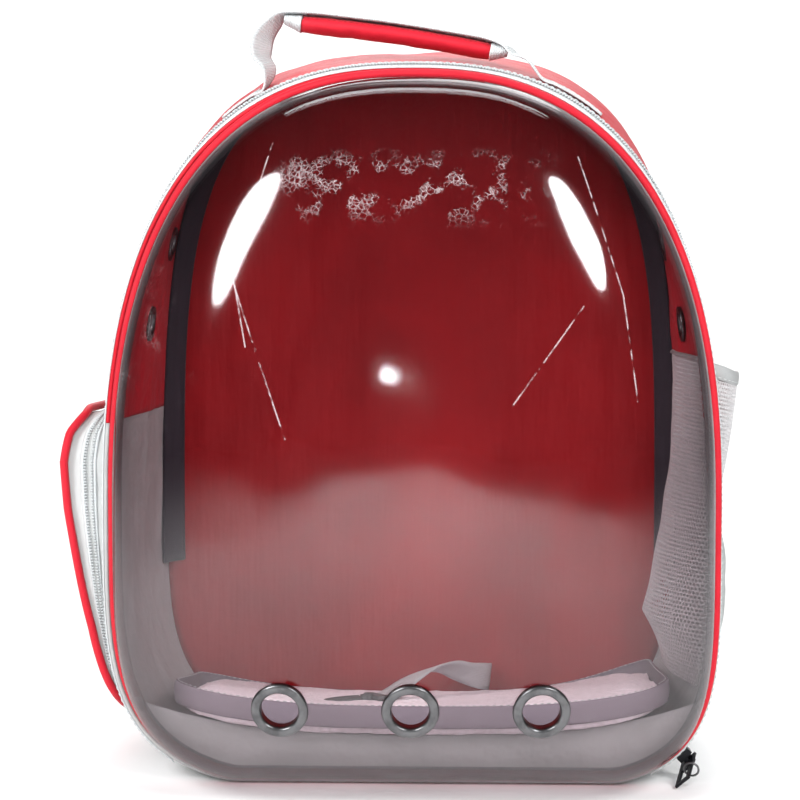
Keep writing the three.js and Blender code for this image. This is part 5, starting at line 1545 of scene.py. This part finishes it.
def build_handle():
    along = (GRIP_RIGHT - GRIP_LEFT) / np.linalg.norm(GRIP_RIGHT - GRIP_LEFT)
    up = np.array([-along[2], 0, along[0]])

    def grip_at(share):
        return GRIP_LEFT + (GRIP_RIGHT - GRIP_LEFT) * share + (0, 0, 1.6 * math.sin(math.pi * share))

    def oval(middle, wide, high, sides=28, groove=0.0):
        ring = []
        for i in range(sides):
            turn = 2 * math.pi * i / sides
            dent = groove * math.exp(-((math.cos(turn) / 0.35) ** 2)) if math.sin(turn) > 0 else 0
            ring.append(middle + np.array([0, wide / 2 * math.cos(turn), 0])
                        + up * (high / 2 * math.sin(turn) - dent))
        return ring

    rows = []
    for share in np.linspace(0, 1, 34):
        end = min(share, 1 - share) * 34 / 2
        size = 0.86 + 0.14 * min(end, 1)
        rows.append(oval(grip_at(share), 22 * size, 11 * size))
    grip = skin("grip_sleeve", rows, closed_across=True, caps=True)
    push(grip, lambda p, n: 0.35 * ripple(p.x * 1.5, p.y, p.z, 12, 4) + 0.25 * ripple(p.x, p.y * 2, p.z, 5, 6) - 0.3)
    paint(grip, finish("red_sleeve"))
    place(grip, "grip_sleeve", "red_piping", ("handle_grip",))
    seam_runs, seam_ups = [], []
    for side in (-1, 1):
        run = [grip_at(s) + np.array([0, side * 9.2, 0]) + up * 3.4 for s in np.linspace(0.02, 0.98, 60)]
        seam_runs.append(run)
        seam_ups.append([np.array([0, side * 0.7, 0]) + up] * 60)
    place(stitches("sewn", seam_runs, seam_ups, finish("red_thread"), 2.2, 1.2, 0.5), "grip_stitches", "red_piping")

    lift = 11 / 2 + GAP + 0.8
    def on_roof(x):
        return (x, HANDLE_Y, roof_z(x, HANDLE_Y) + 0.8 + GAP, 0.0, 0.16)

    route = [on_roof(x) for x in (-116, -108, -99, -91)]
    route += [(x, HANDLE_Y, z, math.sin(math.radians(t)), 0.0) for x, z, t in LEFT_LOOP]
    for share in (0.04, 0.2, 0.4, 0.6, 0.8, 0.96):
        at = grip_at(share) + up * lift
        route.append((at[0], at[1], at[2], 0.0, 0.0))
    route += [(x, HANDLE_Y, z, math.sin(math.radians(t)), 0.0) for x, z, t in RIGHT_LOOP]
    route += [on_roof(x) for x in (76, 84, 94, 104, 112)]
    fine = smooth_path(route, 150)
    strap = ribbon("handle_webbing_strap", fine[:, :3], [(x, 1, z) for x, z in fine[:, 3:]], 21, 1.6, 9)
    place(strap, "handle_webbing_strap", "webbing", ("handle_webbing",))
    for name, end, sign in (("left", GRIP_LEFT, -1), ("right", GRIP_RIGHT, 1)):
        rows = []
        for share in np.linspace(0, 1, 12):
            middle = end + along * sign * (0.1 + share * 10.5) + up * 1.6 * share
            wave = 1 + 0.03 * math.sin(share * 12)
            rows.append(oval(middle, 22 * (0.92 - 0.2 * share) * wave, 11 * (0.97 - 0.42 * share)))
        wrap = skin("wrap", rows, closed_across=True, caps=True)
        paint(wrap, finish("webbing"))
        place(wrap, f"grip_wrap_{name}", "webbing", (f"handle_wrap_{name}",))
    # Boxes of stitches that hold the webbing to the shoulders
    runs, ups = [], []
    for low, high in ((-114, -95), (90, 110)):
        corners = [(low, -8), (high, -8), (high, 8), (low, 8), (low, -8), (high, 8), (high, -8), (low, 8)]
        for (ax, ay), (bx, by) in zip(corners, corners[1:]):
            run = []
            for t in np.linspace(0, 1, 12):
                x, y = ax + (bx - ax) * t, HANDLE_Y + ay + (by - ay) * t
                run.append((x, y, roof_z(x, HANDLE_Y) + 2.0 + (y - HANDLE_Y) * 0.16))
            runs.append(run)
            ups.append([(0, 0, 1)] * 12)
    place(stitches("sewn", runs, ups, finish("grey_thread"), 2.0, 1.2, 0.5), "handle_stitches", "webbing")


# Back pad and shoulder straps

PAD = {"half": 104, "low": 48, "high": 338, "thick": 11, "corner": 46}


def pad_surface(x, z, share):
    crown = PAD["thick"] * (1 - 0.55 * share ** 6)
    channel = 0.3 * PAD["thick"] * math.exp(-((x / 22) ** 2)) * (1 - share ** 2)
    return BACK_Y + GAP + crown - channel


def build_back_pad():
    mid_z = PAD["low"] + PAD["high"] / 2
    loop = even_loop(rounded(PAD["half"], PAD["high"] / 2, PAD["corner"], 12), 150)
    rows = []
    shares = [0.04, 0.18, 0.34, 0.5, 0.66, 0.8, 0.9, 0.96, 0.99]
    for under in (False, True):
        for share in (shares if not under else shares[::-1]):
            row = []
            for a, b in loop:
                x, z = a * share, mid_z + b * share
                y = BACK_Y + GAP + 0.6 if under else pad_surface(x, z, share) - 1.5
                row.append((x, y, z))
            rows.append(row)
    pad = skin("air_pad", rows, closed_across=True, caps=True)
    puff(pad, pressure=3.0, cap=3.0, voxel=6.0, frames=14)

    def quilt(p, n):
        if n.y < 0.2:
            return -0.4
        seam = min(abs(p.z - 150), abs(p.z - 284))
        groove = 2.6 * math.exp(-((seam / 3.2) ** 2)) + 2.2 * math.exp(-(((abs(p.x) - 30) / 3.0) ** 2))
        return 0.6 * ripple(p.x, 0, p.z, 30, 5) - 0.6 - groove

    push(pad, quilt)
    paint(pad, finish("grey_mesh"))
    place(pad, "air_pad", "grey_fabric", ("back_pad",))
    ring = [(a * 1.0, BACK_Y + 3.2, mid_z + b * 1.0) for a, b in even_loop(
        rounded(PAD["half"] + 0.5, PAD["high"] / 2 + 0.5, PAD["corner"], 12), 200)]
    edge = tube("pad_edge", ring, 2.4, 12, closed=True)
    paint(edge, finish("dark_tape"))
    place(edge, "pad_edge", "dark_tape")


STRAP_WIDTH, STRAP_THICK, STRAP_STAND = 60, 11, 36
STRAP_SECTIONS = ((34, 384, 0.0, 0.8), (36, 369, 0.03, 0.95), (42, 345, 0.4, 1.0), (52, 306, 0.86, 1.0),
                  (66, 262, 1.0, 0.98), (80, 218, 0.86, 0.92), (92, 178, 0.58, 0.84), (101, 146, 0.36, 0.74),
                  (106, 128, 0.26, 0.6))


def strap_middle(x, z, off, thick):
    mid_z = PAD["low"] + PAD["high"] / 2
    share = min(max(x / PAD["half"], abs(z - mid_z) / (PAD["high"] / 2)), 1)
    return pad_surface(x, z, share) + GAP * 2 + STRAP_THICK / 2 * thick + off * STRAP_STAND


def build_shoulder_straps():
    route = []
    for i, (x, z, off, width) in enumerate(STRAP_SECTIONS):
        route.append((x, strap_middle(x, z, off, 0.6 if i == 0 else 1.0), z, width))
    fine = smooth_path(route, 60)
    for name, side in (("right", 1), ("left", -1)):
        rows, edges, edge_ups = [], {-1: [], 1: []}, {-1: [], 1: []}
        ahead = np.gradient(fine[:, :3], axis=0)
        frames = []
        for i, (x, y, z, width) in enumerate(fine):
            along = Vector(ahead[i]).normalized()
            along.x *= side
            across = (Vector((1, 0, 0)) - along * along.x).normalized()
            up = across.cross(along)
            end = min(i, len(fine) - 1 - i) / 5
            thick = STRAP_THICK / 2 * (0.6 + 0.4 * min(end, 1)) - 1.2
            frames.append((Vector((side * x, y, z)), across, up, STRAP_WIDTH * width / 2 - 1.5, thick))
        for middle, across, up, half, thick in frames:
            rows.append([
                middle + across * half * math.copysign(abs(math.cos(t)) ** 0.55, math.cos(t))
                + up * thick * math.copysign(abs(math.sin(t)) ** 0.8, math.sin(t))
                for t in np.linspace(0, 2 * math.pi, 28, endpoint=False)
            ])
            for s in (-1, 1):
                edges[s].append(middle + across * s * (half + 0.6))
                edge_ups[s].append(up)
        strap = skin("strap", rows, closed_across=True, caps=True)
        puff(strap, pressure=3.0, cap=2.0, voxel=4.0, frames=12)
        paint(strap, finish("red_strap"))
        place(strap, f"padded_strap_{name}", "red_fabric", (f"shoulder_strap_{name}",))
        loop = edges[-1] + edges[1][::-1]
        binding = tube("edge", [tuple(p) for p in smooth_path([tuple(p) for p in loop], 200)], 2.3, 10, flatten=1.0)
        paint(binding, finish("dark_tape"))
        place(binding, f"strap_edge_{name}", "dark_tape")
        # Webbing sewn down the strap's outer face
        centres = [m - u * (t + 1.1) if u.y < 0 else m + u * (t + 1.1) for m, a, u, h, t in frames[4:]]
        face = ribbon("face", [tuple(c) for c in centres], [tuple(f[1]) for f in frames[4:]], 24, 1.4)
        place(face, f"strap_face_{name}", "webbing")


ADJUSTER = {"width": 35, "height": 23, "thick": 2.5, "bar": 5, "slot": 6, "x": 121, "y": BACK_Y + 10.5, "z": 96}


def build_strap_ends():
    x, y, z = ADJUSTER["x"], ADJUSTER["y"], ADJUSTER["z"]
    last = STRAP_SECTIONS[-1]
    end_y = strap_middle(last[0], last[1], last[2], 1.0)
    web_y = end_y - STRAP_THICK / 2 * 0.6 - GAP - 0.8
    reach, weave = ADJUSTER["bar"] / 2 + ADJUSTER["slot"], 3.1
    anchor = (136, 40)
    rows = [
        (last[0], web_y + 1.2, last[1] + 16), (last[0] + 1, web_y - 0.3, last[1] - 4),
        (x, y - weave, z + reach + 1), (x, y + weave, z + ADJUSTER["bar"] / 2),
        (x, y + weave, z - ADJUSTER["bar"] / 2), (x, y - weave, z - reach - 1),
        ((x + anchor[0]) / 2, BACK_Y + 5.5, z + (anchor[1] - z) * 0.55),
        (anchor[0], BACK_Y + GAP + 0.9, anchor[1] + 12), (anchor[0] + 3, BACK_Y + GAP + 0.9, anchor[1]),
    ]
    fine = smooth_path(rows, 70)
    for name, side in (("right", 1), ("left", -1)):
        path = fine * (side, 1, 1)
        web = ribbon("web", path, [(1, 0, 0)] * len(path), 25, 1.5)
        place(web, f"strap_tail_{name}", "webbing", (f"strap_webbing_{name}",))
        outer = rounded(ADJUSTER["width"] / 2, ADJUSTER["height"] / 2, 4, 6)
        parts = [tube("frame", [(side * x + a * 0.93, y, z + b * 0.9) for a, b in even_loop(outer, 80)], 1.5, 12,
                      closed=True)]
        for height in (-ADJUSTER["bar"] / 2 + 0.9, ADJUSTER["bar"] / 2 - 0.9):
            parts.append(tube("bar", [(side * x + a, y, z + height) for a in (-15, -5, 5, 15)], 1.5, 12))
        for part in parts:
            paint(part, finish("dark_plastic"))
        buckle = join("buckle", parts)
        place(buckle, f"slide_buckle_{name}", "dark_plastic", (f"strap_adjuster_{name}",))


# Zip slider, pull and ring: rounded copies of their own solids

def build_zip_hardware():
    for node, name, slot, body, round_by in (
        ("zip_slider", "slider_body", "black_metal", CARRIER, 0.35),
        ("zip_pull", "pull_tab", "black_metal", "zip_pull", 0.3),
        ("pull_ring", "split_ring", "gunmetal", "zip_pull", 0.0),
    ):
        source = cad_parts[node]
        piece = link(name, source.data.copy())
        piece.data.transform(source.matrix_world)
        weld = piece.modifiers.new("joined_faces", "WELD")
        weld.merge_threshold = 0.00001
        bake(piece)
        if round_by:
            soften(piece, round_by, 3, 30)
        else:
            subdivide(piece, 2)
            piece.data.shade_smooth()
        paint(piece, finish(slot))
        place(piece, name, slot, (node,), body)


# Stage

CAMERA = Vector((24, RING_Y - 1150, 300))
LENS = 88.5
PITCH = 0.0625
HEADING = 0.0278


def soft_light(name, point, target, wide, high, power, colour=(1, 1, 1)):
    data = bpy.data.lights.new(name, "AREA")
    data.shape = "ELLIPSE"
    data.size, data.size_y, data.energy, data.color = wide, high, power, colour
    light = bpy.data.objects.new(name, data)
    bpy.context.scene.collection.objects.link(light)
    light.location = point
    light.rotation_euler = (Vector(target) - Vector(point)).to_track_quat("-Z", "Y").to_euler()
    return light


def mirror_light(name, x, z, distance, wide, high, power):
    """A softbox whose mirror image stands at one place on the dome, as seen by the camera."""
    point, normal = dome_at(x, z)
    view = (point - CAMERA).normalized()
    away = view - 2 * view.dot(normal) * normal
    return soft_light(name, (point * MM) + away * distance, point * MM, wide, high, power)


def build_stage():
    scene = bpy.context.scene
    pale = Finish("studio_paper")
    spot, aside, *_ = pale.at()
    grain = pale.cloud(spot, 3.0, 2.0)
    paper_grain_and_painted_falloff = pale.blend(grain, (0.90, 0.90, 0.90, 1), (0.94, 0.94, 0.94, 1))
    # Painted shade: the paper is painted darker towards both sides, as a falloff of light away from the lamps.
    paper_grain_and_painted_falloff = pale.blend(aside.size().between(0.75, 1.7), paper_grain_and_painted_falloff, (0.55, 0.55, 0.56, 1))
    paper = pale.done(pale.principled(base_color=paper_grain_and_painted_falloff, roughness=0.85, specular_ior_level=0.1))
    rows = []
    for angle in np.linspace(0, math.pi / 2, 12):
        rows.append([(x, 1600 + 900 * math.sin(angle), 900 - 900 * math.cos(angle)) for x in (-4000, 4000)])
    rows = [[(x, -4500, 0) for x in (-4000, 4000)]] + rows + [[(x, 2500, 4200) for x in (-4000, 4000)]]
    backdrop = skin("studio_backdrop", rows)
    paint(backdrop, paper)
    if backdrop.data.polygons[0].normal.z < 0:
        backdrop.data.flip_normals()
    backdrop.location.z = -0.0003
    data = bpy.data.cameras.new("photo_camera")
    data.lens, data.sensor_width = LENS, 36
    camera = bpy.data.objects.new("photo_camera", data)
    scene.collection.objects.link(camera)
    camera.location = CAMERA * MM
    camera.rotation_euler = (math.pi / 2 - PITCH, 0, HEADING)
    scene.camera = camera
    mirror_light("softbox_left", -92, 329, 1.5, 0.42, 0.9, 26)
    mirror_light("softbox_right", 92, 329, 1.5, 0.32, 0.8, 20)
    mirror_light("front_lamp", -8, 246, 1.6, 0.05, 0.05, 0.4)
    hidden = (
        soft_light("front_fill", (0.1, -2.0, 0.75), (0, 0, 0.12), 1.1, 0.8, 32),
        soft_light("top_bank", (0, -0.1, 2.3), (0, 0, 0.2), 1.6, 1.4, 10),
    )
    for light in hidden:
        light.visible_glossy = False
    soft_light("rear_bank", (0, 2.0, 1.7), (0, 0, 0.3), 1.6, 1.0, 12)
    soft_light("backdrop_wash", (0, 0.9, 2.6), (0, 2.6, 0.9), 2.4, 0.8, 44)
    world = bpy.data.worlds.new("dim_room")
    scene.world = world
    world.use_nodes = True
    world.node_tree.nodes["Background"].inputs["Color"].default_value = (0.9, 0.92, 1.0, 1)
    world.node_tree.nodes["Background"].inputs["Strength"].default_value = 0.05
    scene.view_settings.view_transform = "Standard"


def operator(label, text, builder, name):
    """An operator class for one builder."""
    def execute(self, context):
        builder()
        return {"FINISHED"}

    return type(name, (bpy.types.Operator,), {
        "__doc__": text, "bl_idname": "carrier." + builder.__name__, "bl_label": label, "execute": execute,
    })


STEPS = (
    (build_stage, "Stage", "Lay the floor and backdrop, the lights and the camera"),
    (build_tether, "Tether", "Lay the tether and its snap hook on the mat"),
    (build_dome, "Dome", "Blow the clear dome and set its vents"),
    (build_piping, "Piping", "Sew the red piping round the dome"),
    (build_front_zip, "Front Zip", "Run the zip round the dome"),
    (build_body, "Body", "Sew the red and grey walls"),
    (build_wall_vents, "Wall Vents", "Press the eyelets into the walls"),
    (build_back_panel, "Back Panel", "Hang the red lining"),
    (build_rear_binding, "Rear Binding", "Bind the rear seam"),
    (build_facing, "Facing", "Sew the grey facing and the sill"),
    (build_mat, "Floor Mat", "Stuff and bind the floor mat"),
    (build_inner_mesh, "Inner Mesh", "Knit the inner mesh pouch"),
    (build_left_pocket, "Left Pocket", "Sew the zip pocket"),
    (build_bottle_net, "Bottle Net", "Knit the bottle net and bind its rim"),
    (build_lower_pouch, "Pouch", "Sew the lower pouch and its zip"),
    (build_handle, "Handle", "Pad the grip and sew its webbing"),
    (build_back_pad, "Back Pad", "Stuff the padded back"),
    (build_shoulder_straps, "Shoulder Straps", "Stuff the two shoulder straps"),
    (build_strap_ends, "Strap Ends", "Thread the strap webbing and its slides"),
    (build_zip_hardware, "Zip Hardware", "Finish the slider, the pull and its ring"),
)
OPERATORS = [operator(label, text, builder, "CARRIER_OT_" + builder.__name__) for builder, label, text in STEPS]


class CARRIER_PT_panel(bpy.types.Panel):
    """The carrier's steps and settings."""

    bl_label = "Carrier"
    bl_idname = "CARRIER_PT_panel"
    bl_space_type = "VIEW_3D"
    bl_region_type = "UI"
    bl_category = "Carrier"

    def draw(self, context):
        for group in (context.scene.carrier_sizes, context.scene.carrier_colours):
            for key in group.__annotations__:
                self.layout.prop(group, key)
        for step in OPERATORS:
            self.layout.operator(step.bl_idname)


CLASSES = (CarrierSizes, CarrierColours, *OPERATORS, CARRIER_PT_panel)


def register():
    for cls in CLASSES:
        bpy.utils.register_class(cls)
    bpy.types.Scene.carrier_sizes = PointerProperty(type=CarrierSizes)
    bpy.types.Scene.carrier_colours = PointerProperty(type=CarrierColours)


def unregister():
    del bpy.types.Scene.carrier_colours
    del bpy.types.Scene.carrier_sizes
    for cls in reversed(CLASSES):
        bpy.utils.unregister_class(cls)


def main():
    register()
    for step in OPERATORS:
        group, name = step.bl_idname.split(".")
        getattr(getattr(bpy.ops, group), name)()


if __name__ == "__main__":
    main()
